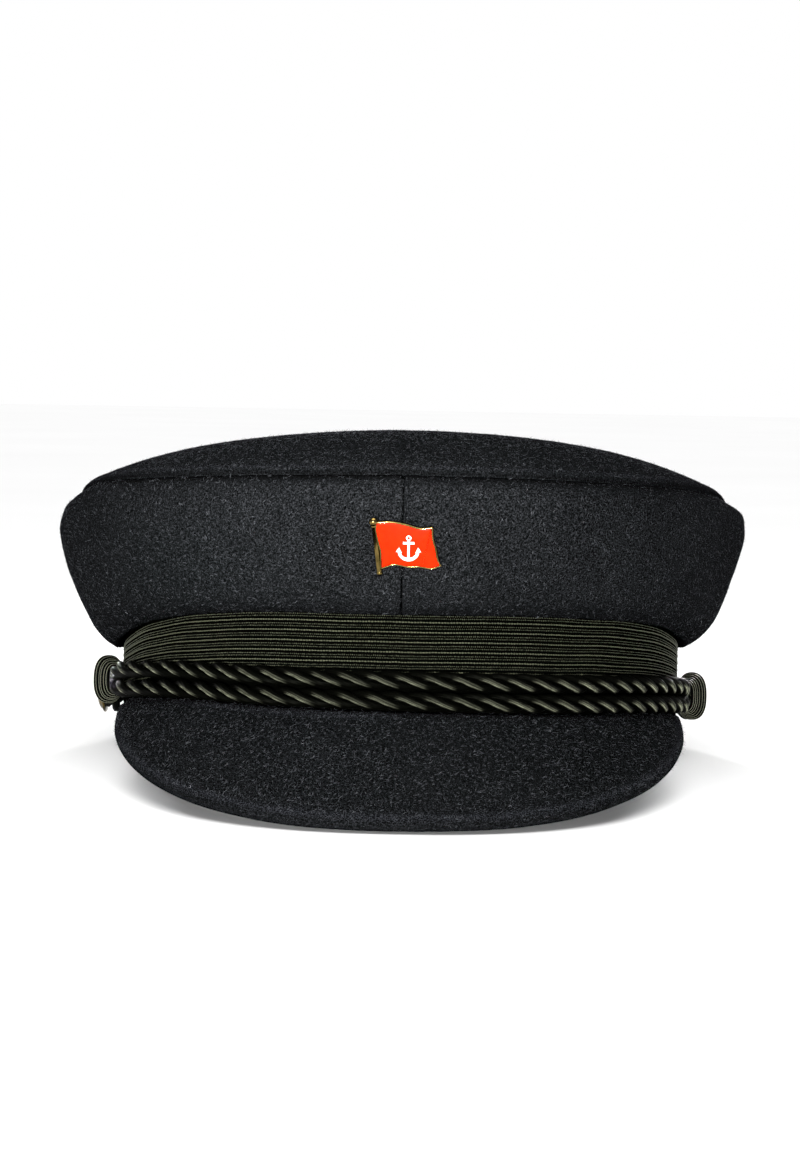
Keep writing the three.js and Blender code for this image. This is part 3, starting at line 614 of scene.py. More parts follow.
# Crown
def crown_heights(angle):
    wrapped = (np.asarray(angle, float) + 180) % 360 - 180
    wrapped = np.where((wrapped == -180) & (np.asarray(angle) > 0), 180, wrapped)
    fold = FOLD_HEIGHT * read_table(CROWN_ROUND, "angle", "fold", wrapped)
    return fold, SEAM_HEIGHT * read_table(CROWN_ROUND, "angle", "seam", wrapped)


def side_reach(rise, angle):
    """How far the crown side stands out from the band, in millimetres."""
    share = 0.5 + 0.5 * np.sin(np.radians(angle))
    left = read_table(SIDE_ROWS, "rise", "left", rise)
    right = read_table(SIDE_ROWS, "rise", "right", rise)
    return CROWN_OVERHANG * (left + (right - left) * share)


def seam_columns(first, last, step, fine):
    """Angles from one seam to the next, closer together beside both seams."""
    near = np.array([0, 0.07, 0.14, 0.22, 0.32, 0.45, 0.65, 0.95, 1.4, 2.1, 3.0]) * fine
    middle = np.arange(near[-1] + step, abs(last - first) - near[-1] - step / 2, step)
    away = np.concatenate([near, middle, abs(last - first) - near[::-1]])
    return first + np.sign(last - first) * away


def panel_relief(side, angle, rise, tall):
    """How far a side panel's felt stands out, in millimetres, and how deep in shade it lies."""
    along = np.radians(angle) * (HEAD_LENGTH + HEAD_WIDTH) / 4
    from_seam = np.radians(np.minimum(np.abs(angle), 180 - np.abs(angle))) * (HEAD_WIDTH / 2 + 15)
    climb, under_seam = rise * tall, (1 - rise) * tall
    swell = SWELL * waves(11 + side, along / 60, climb / 40)
    swell += RIPPLE * waves(5 + side, along / 14, climb / 12)
    gathers = waves(23 + side, along / GATHER_PITCH, climb / 30)
    push = swell * smoothstep(rise, 0, 0.15) + GATHER * np.exp(-climb / GATHER_PITCH) * gathers
    push += relief(PANEL_SEAM, from_seam) + relief(UNDER_TIP_SEAM, under_seam)
    # Painted shade: darker just under the tip's seam and just above the fold, most in the valleys between the
    # gathers
    gather_shade = np.clip(0.5 - 1.2 * gathers, 0, 1)
    return push, 0.85 * bell(under_seam, 1.3) + (0.3 + 0.3 * gather_shade) * np.exp(-climb / 2.6)


def crown_side(side):
    """A side panel: its felt curls out from under the fold, rises, leans in and turns into the tip's seam."""
    angle = side * seam_columns(0, 180, PANEL_STEP, SEAM_STEP)
    if side < 0:
        angle = angle[::-1]
    fold, seam = crown_heights(angle)
    rise = np.concatenate([np.linspace(*run) for run in PANEL_RUNS])
    a, r = np.meshgrid(angle, rise)
    face = oval(a, BAND_OUTER + side_reach(r, a), fold + r * (seam - fold))
    hug = BAND_OUTER + GAP
    tuck = [oval(angle, hug + out, fold + up) for out, up in FOLD_TUCK]
    top = BAND_OUTER + side_reach(1, angle)
    turned_in = [oval(angle, top - inward, seam - down) for inward, down in SEAM_TURN]
    outer = np.concatenate([np.stack(tuck), face, np.stack(turned_in)])
    first, last, half = len(tuck), len(tuck) + len(rise), len(outer)
    normals = grid_normals(outer)
    push, shade = panel_relief(side, a, r, seam - fold)
    outer[first:last] += push[..., None] * normals[first:last]
    inner = outer - CROWN_WALL * normals
    inner[:first] = oval(angle, hug + 0.2, fold + 3) + np.linspace(2, 0, first)[:, None, None] * UP
    inner[last:] = outer[last:] - 1.2 * UP - 0.6 * oval_normal(angle)
    shell = np.concatenate([outer, inner[::-1]])
    # Painted shade: the felt tucked behind the fold and turned in at the seam is darkened, and the face where
    # panel_relief shades it
    deep = np.zeros(shell.shape[:2])
    deep[:first] = 0.8
    deep[first:last] = np.clip(shade, 0, 1)
    deep[last:half] = 1
    name = sided("crown_side", side)
    faces = folded_sheet(*shell.shape[:2], half - 1)
    make_piece(name + "_felt", shell, faces, FELT, [name], "felt", deep=deep)
    return outer[first:last], normals[first:last]


def tip_surface(angle, inward, raised):
    """Points of the crown tip at a distance inward from its edge, raised above the dome."""
    edge = oval(angle, BAND_OUTER + side_reach(1, angle), 0)
    size = np.hypot(edge[..., 0], edge[..., 1])
    radius = np.clip(1 - inward / size, 0, 1)
    _, seam = crown_heights(angle)
    _, front = crown_heights(0)
    _, back = crown_heights(180)
    base = (front + back) / 2 + (seam - (front + back) / 2) * radius**2
    dome = TIP_RISE * np.maximum(1 - radius**2, 0) ** TIP_FULLNESS
    lean = TIP_LEAN * edge[..., 0] * radius * (1 - radius**2) / (HEAD_WIDTH / 2)
    z = base + dome + lean + GAP + raised
    return np.stack([edge[..., 0] * radius, edge[..., 1] * radius, z], axis=-1)


# Welt round the crown tip: inward from its edge as a share of WELT_WIDTH, relief as a share of WELT_RELIEF
WELT_ROWS = table(
    "inward relief",
    (0.3, -2.4),
    (0.2, -1.2),
    (0.14, -0.5),
    (0.16, 0.1),
    (0.26, 0.5),
    (0.42, 0.8),
    (0.62, 0.95),
    (0.8, 0.75),
    (0.93, 0.3),
    (1.05, -0.3),
    (1.18, -0.3),
    (1.35, 0.1),
    (1.7, 0.25),
    (2.2, 0.15),
)


def tip_rows(angle):
    """How far inward each row of the tip lies at each angle, and how far it is raised."""
    near, far = 30, 97
    inward = np.array([row["inward"] * WELT_WIDTH for row in WELT_ROWS])
    raised = np.array([row["relief"] * WELT_RELIEF for row in WELT_ROWS])
    deeper = np.concatenate([np.linspace(inward[-1] + 1.2, near, 24), np.linspace(near + 2, far, 34)])
    edge = oval(angle, BAND_OUTER + side_reach(1, angle), 0)
    size = np.hypot(edge[:, 0], edge[:, 1])
    a, d = np.meshgrid(angle, np.concatenate([inward, deeper]))
    d = np.where(d > near, near + (d - near) / (far - near) * (size * 0.985 - near), d)
    return a, d, np.concatenate([raised, np.zeros(len(deeper))])[:, None] * np.ones_like(a)


def crown_tip():
    """The domed oval top with the welt round its edge, and its underside."""
    a, d, raised = tip_rows(np.linspace(0, 360, TIP_COLUMNS, endpoint=False))
    top = tip_surface(a, d, raised)
    swell = 0.5 * waves(41, top[..., 0] / 70, top[..., 1] / 70)
    swell += 0.1 * waves(42, top[..., 0] / 15, top[..., 1] / 15)
    top[..., 2] += swell * smoothstep(d, 4, 30)
    normals = grid_normals(top, ring=True)
    under = top[[3, 9, 20, 34, 48, len(top) - 1]] - CROWN_WALL * UP
    under[0] = top[0] - 0.6 * UP
    rows, columns = len(top) + len(under), TIP_COLUMNS
    quads = grid_quads(rows, columns, ring=True, close=True).reshape(rows, columns, 4)
    quads = np.delete(quads, len(top) - 1, axis=0).reshape(-1, 4)
    centre = rows * columns
    under_start = len(top) * columns
    fans = [fan(under_start - columns, columns, centre), fan(under_start, columns, centre + 1, True)]
    middle = top[-1].mean(axis=0)
    skin = np.concatenate([top, under[::-1]]).reshape(-1, 3)
    points = np.concatenate([skin, [middle, middle - CROWN_WALL * UP]])
    # Painted highlight on the crest of the welt, and painted shade along the seam at the tip's edge and in
    # the groove inside the welt
    welt = bell(d - WELT_WIDTH * 0.6, WELT_WIDTH * 0.36)
    line = bell(d, 0.75) + 0.45 * bell(d - WELT_WIDTH * 1.12, 0.5)
    hidden = np.zeros(len(points) - d.size)
    shades = {"rubbed": np.concatenate([0.3 * welt.ravel(), hidden]),
              "deep": np.clip(np.concatenate([0.8 * line.ravel(), hidden]), 0, 1)}
    make_piece("crown_tip_felt", points, [quads, *fans], FELT, ["crown_tip"], "felt", **shades)
    return top[3:], normals[3:]


def seam_shade_lines(panel, normals):
    """Painted shade: thin near-black tubes along the seams where the side panels meet, down the front and the
    back, for the shade in their crevices.
    """
    for name, column in (("front", 0), ("back", -1)):
        rise = np.linspace(0, 1, len(panel) - 3)[:, None]
        path = panel[3:, column] + (0.22 + 0.3 * smoothstep(rise, 0.6, 0.85)) * normals[3:, column]
        path = path + 0.14 * waves(31, path[:, 2] / 11, count=4)[:, None] * RIGHT
        points, groups = tubes(path[None], SEAM_SHADE_WIDTH / 2, 6, False, RIGHT)
        make_piece("seam_" + name, points, groups, SEAM_SHADE_FELT, [], "felt")


# Peak
def cord_lift(angle):
    return CORD_DIAMETER * read_table(CORD_ROUND, "angle", "lift", np.clip(angle, -90, 90))


def peak_middle(angle, share):
    around = angle * PEAK_ROOT_ANGLE / 90
    root = oval(around, BAND_OUTER + GAP, PEAK_ROOT_HEIGHT + cord_lift(around))
    edge = peak_edge(angle)
    width = np.linalg.norm(root - edge, axis=-1)
    point = root + (edge - root) * share[..., None]
    point[..., 2] += PEAK_ARCH * np.sin(np.pi * share) * np.minimum(width / PEAK_REACH, 1)
    return point, width


# The peak's edge bead from its inner line outward, as shares of the bead's width from the edge
EDGE_ROWS = [1.3, 1.15, 1.0, 0.85, 0.65, 0.45, 0.28, 0.14, 0.05, 0]
STITCH_LINE = 1.3


def peak():
    """The felt peak: a curved sheet from the band to a rounded edge, with a soft bead and a stitched line."""
    middle_angles = np.linspace(-59, 59, 150)
    side_angles = np.linspace(60, PEAK_LAST_ANGLE, 50)
    angle = np.concatenate([-side_angles[::-1], middle_angles, side_angles])
    _, width = peak_middle(angle, np.zeros_like(angle))
    bead = np.minimum(EDGE_BEAD_WIDTH, width * 0.5)
    inside = np.linspace(0, 1, 40)[:-1, None]
    distance = np.concatenate([width - inside * (width - 1.45 * bead), np.array(EDGE_ROWS)[:, None] * bead])
    share = 1 - distance / width
    middle, _ = peak_middle(np.broadcast_to(angle, share.shape), share)
    normals = -grid_normals(middle)
    normals[0] = UP
    x = distance / bead
    swell = 1 + (EDGE_BEAD_SWELL - 1) * smoothstep(x, STITCH_LINE, 0.85) - 0.1 * bell(x - STITCH_LINE, 0.12)
    half = PEAK_WALL / 2 * swell * np.sqrt(np.clip(1 - (1 - np.minimum(x / 0.5, 1)) ** 2, 0, 1))
    wave = 0.22 * waves(61, middle[..., 0] / 45, middle[..., 1] / 30) * smoothstep(share, 0.1, 0.5)
    top = middle + (half + wave)[..., None] * normals
    under = middle - (half - wave)[..., None] * normals
    points = np.concatenate([top, under[-2::-1]])
    faces = folded_sheet(*points.shape[:2], len(share) - 2)[:, ::-1]
    # Painted highlight: a paler strip along the rounded edge, and one along the root just under the cord left
    # of the middle
    root_highlight_span = smoothstep(middle[..., 0], 5, -15) * smoothstep(middle[..., 0], -70, -52)
    edge = bell(x - 0.75, 0.42) + root_highlight_span * bell(share - 0.07, 0.04)
    rubbed = np.concatenate([edge, edge[-2::-1]])
    make_piece("peak_shaded_felt", points, faces, PEAK_SHADED_FELT, ["peak"], "felt", rubbed=rubbed)
    return top, normals


# Bands
def band_ring(name, outline, columns, look, node, slot, follow=lambda angle, height: height):
    """A closed ring round the head from an outline of (offset, height) points. follow bends its heights."""
    angle = np.linspace(0, 360, columns, endpoint=False)
    points = np.stack([oval(angle, offset, follow(angle, height)) for offset, height in outline])
    faces = grid_quads(*points.shape[:2], ring=True, close=True)
    make_piece(name, points, faces, look, [node], slot)


def head_band():
    low, wall = -HEAD_BAND_DROP, HEAD_BAND_WALL
    outline = [(0.5, low), (1.5, low), (wall - 0.1, low + 0.25)]
    outline += [(wall, z) for z in np.linspace(low + 0.6, BAND_TOP, 12)]
    outline += [(0.2, BAND_TOP)] + [(0, z) for z in np.linspace(BAND_TOP - 0.3, low + 0.6, 12)]
    outline += [(0.12, low + 0.2)]
    band_ring("head_band_felt", outline, 240, FELT, "head_band", "felt")


RIB_COUNT = int((TOP_RIB_HEIGHT + RIBBED_BAND_DROP) / RIB_PITCH)


def band_height(angle, height):
    """Heights on the woven band, which is drawn together where the crown comes down at its sides and back."""
    fold, _ = crown_heights(angle)
    share = (fold + RIBBED_BAND_DROP) / (FOLD_HEIGHT + RIBBED_BAND_DROP)
    return -RIBBED_BAND_DROP + (height + RIBBED_BAND_DROP) * share


def rib_height(rib, angle):
    """Ribs follow the band, with the slight wander of its weave."""
    along = np.radians(angle) * (HEAD_LENGTH + HEAD_WIDTH) / 4
    wander = 0.12 * waves(71, along / 35 + rib * 0.07, count=4)
    return band_height(angle, TOP_RIB_HEIGHT - rib * RIB_PITCH + wander)


def under_cord(angle):
    """How far the lowest rows of the weave go under, where the cord and the peak's root hide them."""
    wrapped = np.abs((angle + 180) % 360 - 180)
    return WEAVE_TUCK * smoothstep(wrapped, BUTTON_ANGLE + 6, BUTTON_ANGLE)


WEAVE_TUCK = 0.7
TUCKED_RIB = RIB_COUNT - 3
VALLEY = HEAD_BAND_WALL + GAP + RIBBED_BAND_WALL
BAND_GIRTH = np.pi * (HEAD_LENGTH + HEAD_WIDTH + 4 * VALLEY) / 2

# A rib's beads: how full each of their steps is, and their section as shares of half their width and relief
BEAD_STEPS = (-0.3, 0.85, 1.0, 0.85)
BEAD_SECTION = [(-1, -0.1), (-0.55, 0.8), (0.55, 0.8), (1, -0.1)]
BEAD_HALF_WIDTH = 0.21
BEAD_RELIEF = 0.36

# A dot's low corners and top, and the height of the two rows of dots about the middle between two ribs
DOT_CORNERS = ((-1, 0), (0, -1), (1, 0), (0, 1))
DOT_HALF_WIDTH = 0.34
DOT_HALF_HEIGHT = 0.19
DOT_RELIEF = 0.24
DOT_LIFT = 0.33


def band_ground():
    """The dark ground of the woven band, in shallow steps under its ribs and dots."""
    outline = [(VALLEY - RIBBED_BAND_WALL, BAND_TOP)]
    for z in np.linspace(BAND_TOP + 0.2, -RIBBED_BAND_DROP, 88):
        phase = (TOP_RIB_HEIGHT - z) / RIB_PITCH
        from_rib = abs(phase - round(phase)) * RIB_PITCH
        ridge = 0.16 * bell(from_rib, 0.42)
        between = 0.16 * bell(from_rib - RIB_PITCH / 2, 0.62)
        outline.append((VALLEY + ridge + between, z))
    outline.append((VALLEY - RIBBED_BAND_WALL, -RIBBED_BAND_DROP))
    outline.reverse()
    band_ring("ribbed_band_ground", outline, 360, BRAID_GROUND, "ribbed_band", "ribbed_braid", band_height)


def band_ribs(rng):
    """The beaded ribs."""
    beads, steps = int(BAND_GIRTH / BEAD_PITCH), len(BEAD_STEPS)
    angle = np.linspace(0, 360, beads * steps, endpoint=False)
    full = np.tile(BEAD_STEPS, beads)
    points, quads = [], []
    for rib in range(RIB_COUNT):
        size = full * np.repeat(rng.uniform(0.85, 1.15, beads), steps)
        tucked = under_cord(angle) if rib >= TUCKED_RIB else 0
        middle = rib_height(rib, angle) + np.repeat(rng.uniform(-0.03, 0.03, beads), steps)
        start = rib * len(BEAD_SECTION) * len(angle)
        for across, out in BEAD_SECTION:
            offset = VALLEY + 0.14 + BEAD_RELIEF * out * size - tucked
            points.append(oval(angle, offset, middle - BEAD_HALF_WIDTH * across * np.abs(size)))
        quads.append(grid_quads(len(BEAD_SECTION), len(angle), ring=True, start=start)[:, ::-1])
    points, quads = np.concatenate(points), np.concatenate(quads)
    make_piece("ribbed_band_ribs", points, quads, BRAID_RIB, [], "ribbed_braid")


def band_dots(rng):
    """Two rows of small dots between each rib and the next, the second row half a step on."""
    count = int(BAND_GIRTH / DOT_PITCH)
    even = np.linspace(0, 360, count, endpoint=False)
    step = 360 / count
    points = []
    for rib in range(-1, RIB_COUNT):
        tucked = under_cord(even) if rib >= TUCKED_RIB else 0
        for row, lift in enumerate((DOT_LIFT, -DOT_LIFT)):
            angle = even + row / 2 * step + rng.uniform(-0.12, 0.12, count) * step
            z = rib_height(rib, angle) - RIB_PITCH / 2 + lift + rng.uniform(-0.04, 0.04, count)
            size = rng.uniform(0.7, 1.15, count)
            dot_points = [
                oval(angle + step * DOT_HALF_WIDTH * x * size, VALLEY + 0.12, z + DOT_HALF_HEIGHT * y * size)
                for x, y in DOT_CORNERS
            ]
            dot_points.append(oval(angle, VALLEY + 0.16 + DOT_RELIEF * size, z))
            inward = (tucked * np.ones(count))[:, None, None] * oval_normal(angle)[:, None]
            points.append((np.stack(dot_points, axis=1) - inward).reshape(-1, 3))
    points = np.concatenate(points)
    base = np.arange(len(points) // 5)[:, None] * 5
    faces = np.concatenate([base + np.array([[c, (c + 1) % 4, 4]]) for c in range(4)])
    make_piece("ribbed_band_dots", points, faces, BRAID_DOT, [], "ribbed_braid")


def ribbed_band():
    """The woven band: a dark ground, a beaded rib on each of its steps, and two rows of dots between."""
    rng = np.random.default_rng(72)
    band_ground()
    band_ribs(rng)
    band_dots(rng)


# Cord
KEEPER_STAND = KEEPER_WALL + KEEPER_CLEARANCE
SIDE_DEGREES = 360 / (math.pi * (HEAD_LENGTH + 2 * BAND_OUTER))
KEEPER_START = KEEPER_ANGLE - KEEPER_LENGTH / 2 * SIDE_DEGREES
KEEPER_END = KEEPER_ANGLE + KEEPER_LENGTH / 2 * SIDE_DEGREES
SQUEEZE = 0.36
DRAWN = 0.27
BUTTON_EDGE = BUTTON_ANGLE - BUTTON_DIAMETER / 2 * SIDE_DEGREES


def squeezed(away):
    """How far the keepers draw the cord together: 1 inside them, 0 clear of them and round the buttons."""
    nose = KEEPER_START - KEEPER_NOSE * SIDE_DEGREES
    return smoothstep(away, nose - 6, nose + 1) - smoothstep(away, KEEPER_END, BUTTON_EDGE)


def cord_centreline():
    """The cord's closed loop: along the top run to the right, round the button, back along the lower run."""
    half = (CORD_DIAMETER + GAP) / 2
    seat = BAND_OUTER + GAP + CORD_DIAMETER / 2
    turn_radius = max(SHANK_DIAMETER / 2 + GAP + CORD_DIAMETER / 2, half)
    drawn = half * (1 - DRAWN)

    def run(angle, side):
        away = np.abs(angle)
        near = smoothstep(away, KEEPER_END, BUTTON_ANGLE)
        button = np.where(angle < 0, BUTTON_HEIGHT[-1], BUTTON_HEIGHT[1])
        middle = (CORD_MID_HEIGHT + cord_lift(angle)) * (1 - near) + button * near
        spread = half + (turn_radius - half) * near - drawn * squeezed(away)
        stand = KEEPER_STAND * (smoothstep(away, KEEPER_START - 1, KEEPER_START + 3) - 0.6 * near)
        offset = seat - CORD_DIAMETER / 2 * SQUEEZE * squeezed(away) + stand
        return oval(angle, offset, middle + side * spread)

    def turn(side):
        step = np.linspace(0, 1, 14)[1:-1]
        back = turn_radius * np.sin(np.pi * step)
        up = side * turn_radius * np.cos(np.pi * step)
        angle = side * (BUTTON_ANGLE + back * SIDE_DEGREES)
        return oval(angle, seat + 0.4 * KEEPER_STAND, BUTTON_HEIGHT[side] + up)

    stops = np.linspace(-BUTTON_ANGLE, BUTTON_ANGLE, 420)
    loop = np.concatenate([run(stops, 1), turn(1), run(stops[::-1], -1), turn(-1)])
    return resample_loop(loop)


def resample_loop(loop):
    """The same closed line in even steps of about CORD_STEP, smoothed a little."""
    for _ in range(6):
        loop = loop * 0.5 + (np.roll(loop, 1, axis=0) + np.roll(loop, -1, axis=0)) * 0.25
    closed = np.concatenate([loop, loop[:1]])
    length = np.concatenate([[0], np.cumsum(np.linalg.norm(np.diff(closed, axis=0), axis=1))])
    steps = int(length[-1] / CORD_STEP)
    at = np.linspace(0, length[-1], steps, endpoint=False)
    return np.stack([np.interp(at, length, closed[:, n]) for n in range(3)], axis=-1), length[-1]


def loop_frames(line):
    along = unit(np.roll(line, -1, axis=0) - np.roll(line, 1, axis=0))
    outward = unit(line * (1 / HEAD_WIDTH**2, 1 / HEAD_LENGTH**2, 0))
    across = unit(outward - dot(outward, along) * along)
    return along, across, np.cross(along, across)


def cord():
    """Three twisted plies round the closed loop, whose twist is slacker at the left end."""
    line, length = cord_centreline()
    _, across, third = loop_frames(line)
    round_head = np.degrees(np.arctan2(line[:, 0] / HEAD_WIDTH, -line[:, 1] / HEAD_LENGTH))
    away = np.abs(round_head)
    rate = 1 - CORD_SLACK * smoothstep(-round_head, 35, 62)
    turns = round(length * rate.mean() / CORD_LEAD)
    phase = 2 * np.pi * (np.cumsum(rate) - rate[0]) / rate.sum()
    size = 1 - SQUEEZE * squeezed(away) + END_SWELL * smoothstep(away, BUTTON_EDGE, BUTTON_ANGLE)
    paths, facing = [], []
    for ply in range(3):
        twist = turns * phase + 2 * np.pi * ply / 3
        radial = np.cos(twist)[:, None] * across + np.sin(twist)[:, None] * third
        paths.append(line + PLY_OFFSET * size[:, None] * radial)
        facing.append(radial)
    paths, facing = np.stack(paths), np.stack(facing)
    plump = 1 + 0.05 * np.stack([waves(82 + ply, turns * phase / 5, count=5) for ply in range(3)])
    radii = PLY_RADIUS * size * plump
    points, groups = tubes(paths, radii, 4 * PLY_STRANDS, True, facing, PLY_STRANDS, PLY_RELIEF)
    # Painted sheen: weaker at the front, stronger towards the ends where the frontal light reaches less, and
    # faint under the keepers
    in_view = PAINTED_SHEEN_FRONT + (1 - PAINTED_SHEEN_FRONT) * np.sin(np.radians(away)) ** 2
    in_view *= 1 - 0.8 * smoothstep(away, KEEPER_START, KEEPER_END)
    pale = ply_sheen(points, paths, across) * stroke(line, facing, across)[:, :, None] * in_view[:, None]
    make_piece("cord_plies", points, groups, CORD_YARN, ["cord"], "cord", pale=pale)


# Painted highlight lines along a ply: degrees from the side that faces out towards its lower edge, and share
# of sheen
PLY_LINES = table(
    "place width height",
    (44, 8, 1),
    (18, 5, 0.45),
    (-4, 4, 0.25),
)


def stroke(line, facing, outward):
    """How far each ply's painted sheen is in view: from its blunt head, away from the front, to its thin
    tail.
    """
    up = dot(facing, np.cross(outward, np.cross(UP, outward))[None])[..., 0]
    out = dot(facing, outward[None])[..., 0]
    head = 26 * line[:, 0] / (HEAD_WIDTH / 2)
    turn = np.degrees(np.arctan2(up, out)) + head
    return smoothstep(np.abs(turn), 66, 30)


def ply_sheen(points, paths, outward):
    """The share of painted sheen at each point of the plies: a painted highlight along each ply's lower edge,
    where its yarns would shine.
    """
    away = unit(points - paths[:, :, None])
    along = unit(np.roll(paths, -1, axis=1) - np.roll(paths, 1, axis=1))
    edge = unit(np.cross(along, outward[None]))
    edge = edge * np.where(edge[..., 2:] > 0, -1, 1)
    turn = np.degrees(np.arctan2(dot(away, edge[:, :, None]), dot(away, outward[None, :, None])))
    return relief(PLY_LINES, turn[..., 0])


KEEPER_STEPS = 64
KEEPER_SIDES = 28
KEEPER_SQUARENESS = 0.8
KEEPER_PAINTED_SHEEN = table("place width height", (16, 14, 1))


def keeper(side):
    """Thick yarn wound round both runs of the cord, from a small first turn out to full ones."""
    angle = side * KEEPER_ANGLE
    outward = oval_normal(angle)
    along = side * np.array([-outward[1], outward[0], 0])
    turns = KEEPER_TURNS[side]
    yarn = (KEEPER_LENGTH + KEEPER_NOSE) / turns
    tight = CORD_DIAMETER / 2 * (1 - SQUEEZE) + yarn * 0.12
    full = CORD_DIAMETER / 2 + KEEPER_CLEARANCE + KEEPER_WALL * 0.9
    turn = full_turn(KEEPER_STEPS)
    out, rise = (np.sign(part) * np.abs(part) ** KEEPER_SQUARENESS for part in (np.cos(turn), np.sin(turn)))
    direction = np.cos(turn)[:, None] * outward + np.sin(turn)[:, None] * UP
    rng = np.random.default_rng(91 + side)
    paths = []
    for n in range(turns):
        grown = (n + 0.3) / (turns - 0.7)
        radius = tight + (full - tight) * grown + rng.uniform(-0.08, 0.08)
        tall = radius + (CORD_DIAMETER + GAP) / 2 * (1 - DRAWN * (1 - grown))
        place = (n + 0.5) * yarn - KEEPER_LENGTH / 2 - KEEPER_NOSE
        lean = rng.uniform(-0.2, 0.2) * np.sin(turn + rng.uniform(-0.5, 0.5))
        centre = oval(angle, BAND_OUTER + GAP + radius, CORD_MID_HEIGHT + cord_lift(angle)) + place * along
        ring = radius * out[:, None] * outward + tall * rise[:, None] * UP
        paths.append(centre + ring + lean[:, None] * along)
    facing = np.broadcast_to(direction, (turns, KEEPER_STEPS, 3))
    points, groups = tubes(np.stack(paths), yarn * 0.52, KEEPER_SIDES, True, facing, depth=KEEPER_THIN)
    # Painted sheen: a painted highlight along one side of each turn of the yarn
    front = side * (180 - 360 * np.arange(KEEPER_SIDES) / KEEPER_SIDES)
    pale = relief(KEEPER_PAINTED_SHEEN, (front + 360) % 360 - 180)
    name = sided("keeper", side)
    shades = {"pale": np.broadcast_to(pale, points.shape[:-1])}
    make_piece(name + "_yarn", points, groups, CORD_YARN, [name], "cord", **shades)


# Buttons
def turned(profile, columns):
    """Points and faces of a body turned about Z from (radius, height) points, first and last on the axis."""
    turn = full_turn(columns)
    circle = np.stack([np.cos(turn), np.sin(turn), 0 * turn], axis=-1)
    rows = [radius * circle + height * UP for radius, height in profile[1:-1]]
    points = np.concatenate([*rows, [profile[0][1] * UP, profile[-1][1] * UP]])
    last = (len(rows) - 1) * columns
    fans = [fan(0, columns, len(points) - 2, True), fan(last, columns, len(points) - 1)]
    return points, [grid_quads(len(rows), columns, ring=True), *fans]


# A button's rolled rim: share of its radius, and height above its back
BUTTON_RIM = [(0.9, 0), (0.97, 0.15), (1, 0.45), (0.985, 0.8), (0.93, 0.98), (0.88, 0.9)]
BUTTON_RIM_HEIGHT = 0.85


def button(side):
    """A domed brass button with a rolled rim, on its shank."""
    head, shank, under = BUTTON_DIAMETER / 2, SHANK_DIAMETER / 2, CORD_DIAMETER + GAP
    profile = [(0, 0), (shank, 0), (shank, under)]
    profile += [(head * share, under + height) for share, height in BUTTON_RIM]
    for share in np.linspace(0.84, 0.05, 14):
        dome = (BUTTON_HEAD - BUTTON_RIM_HEIGHT) * math.sqrt(1 - (share / 0.88) ** 2)
        profile.append((head * share, under + BUTTON_RIM_HEIGHT + dome))
    profile.append((0, under + BUTTON_HEAD))
    points, faces = turned(profile, 56)
    outward = oval_normal(side * BUTTON_ANGLE)
    along = np.array([-outward[1], outward[0], 0])
    seat = oval(side * BUTTON_ANGLE, BAND_OUTER + GAP, BUTTON_HEIGHT[side])
    name = sided("button", side)
    make_piece(name + "_brass", set_at(points, seat, along, UP, outward), faces, SHADED_BRASS, [name], "brass")


# Flag pin, drawn in its own plane: X to the right, Y up along the felt and Z out of it, its back at Z = 0
def inset_line(line, inset):
    """A closed line drawn anticlockwise, moved inward."""
    into = unit(line - np.roll(line, 1, axis=0))
    out = unit(np.roll(line, -1, axis=0) - line)
    mean = unit(into + out)
    reach = inset / np.maximum(dot(mean, into), 0.5)
    return line + reach * np.stack([-mean[:, 1], mean[:, 0]], axis=-1)


def flag_line(steps=6):
    """The flag's wavy outline, smooth between its four corners."""
    line = (np.array(FLAG_OUTLINE) - 0.5) * (PIN_WIDTH, PIN_HEIGHT)
    after, before = np.roll(line, -1, axis=0), np.roll(line, 1, axis=0)
    leave = (after - before) / 2
    arrive = leave.copy()
    for corner in FLAG_CORNERS:
        leave[corner] = after[corner] - line[corner]
        arrive[corner] = line[corner] - before[corner]
    t = (np.arange(steps) / steps)[None, :, None]
    rest = 1 - t
    here, there = line[:, None], after[:, None]
    way = leave[:, None] * t * rest * rest - np.roll(arrive, -1, axis=0)[:, None] * t * t * rest
    return (here * (1 + 2 * t) * rest * rest + there * t * t * (3 - 2 * t) + way).reshape(-1, 2)


def pin_place():
    """Where the pin sits: its middle on the front panel, and its three directions."""
    fold, seam = crown_heights(0)
    rise = (PIN_CENTRE_HEIGHT - fold) / (seam - fold)
    step = 0.12
    grow = side_reach(rise + step, 0) - side_reach(rise - step, 0)
    lean = math.atan2(grow, 2 * step * (seam - fold))
    front = -HEAD_LENGTH / 2 - BAND_OUTER - float(side_reach(rise, 0))
    out = np.array([0, -math.cos(lean), -math.sin(lean)])
    up = np.array([0, -math.sin(lean), math.cos(lean)])
    return np.array([PIN_CENTRE_X, front, PIN_CENTRE_HEIGHT]) + GAP * 1.5 * out, RIGHT, up, out


def on_pin(points):
    return set_at(points, *pin_place())


def lifted(line, height):
    return np.concatenate([line, np.full((len(line), 1), float(height))], axis=1)


def capped_stack(layers, start=0):
    """Points and faces of a solid from closed lines in layers, with flat caps."""
    points = np.concatenate(layers)
    count, columns = len(layers), len(layers[0])
    ends = np.arange(columns)
    caps = np.stack([ends[::-1], (count - 1) * columns + ends]) + start
    return points, grid_quads(count, columns, ring=True, start=start), caps


ENAMEL_DEPTH = PIN_RECESS * 0.8


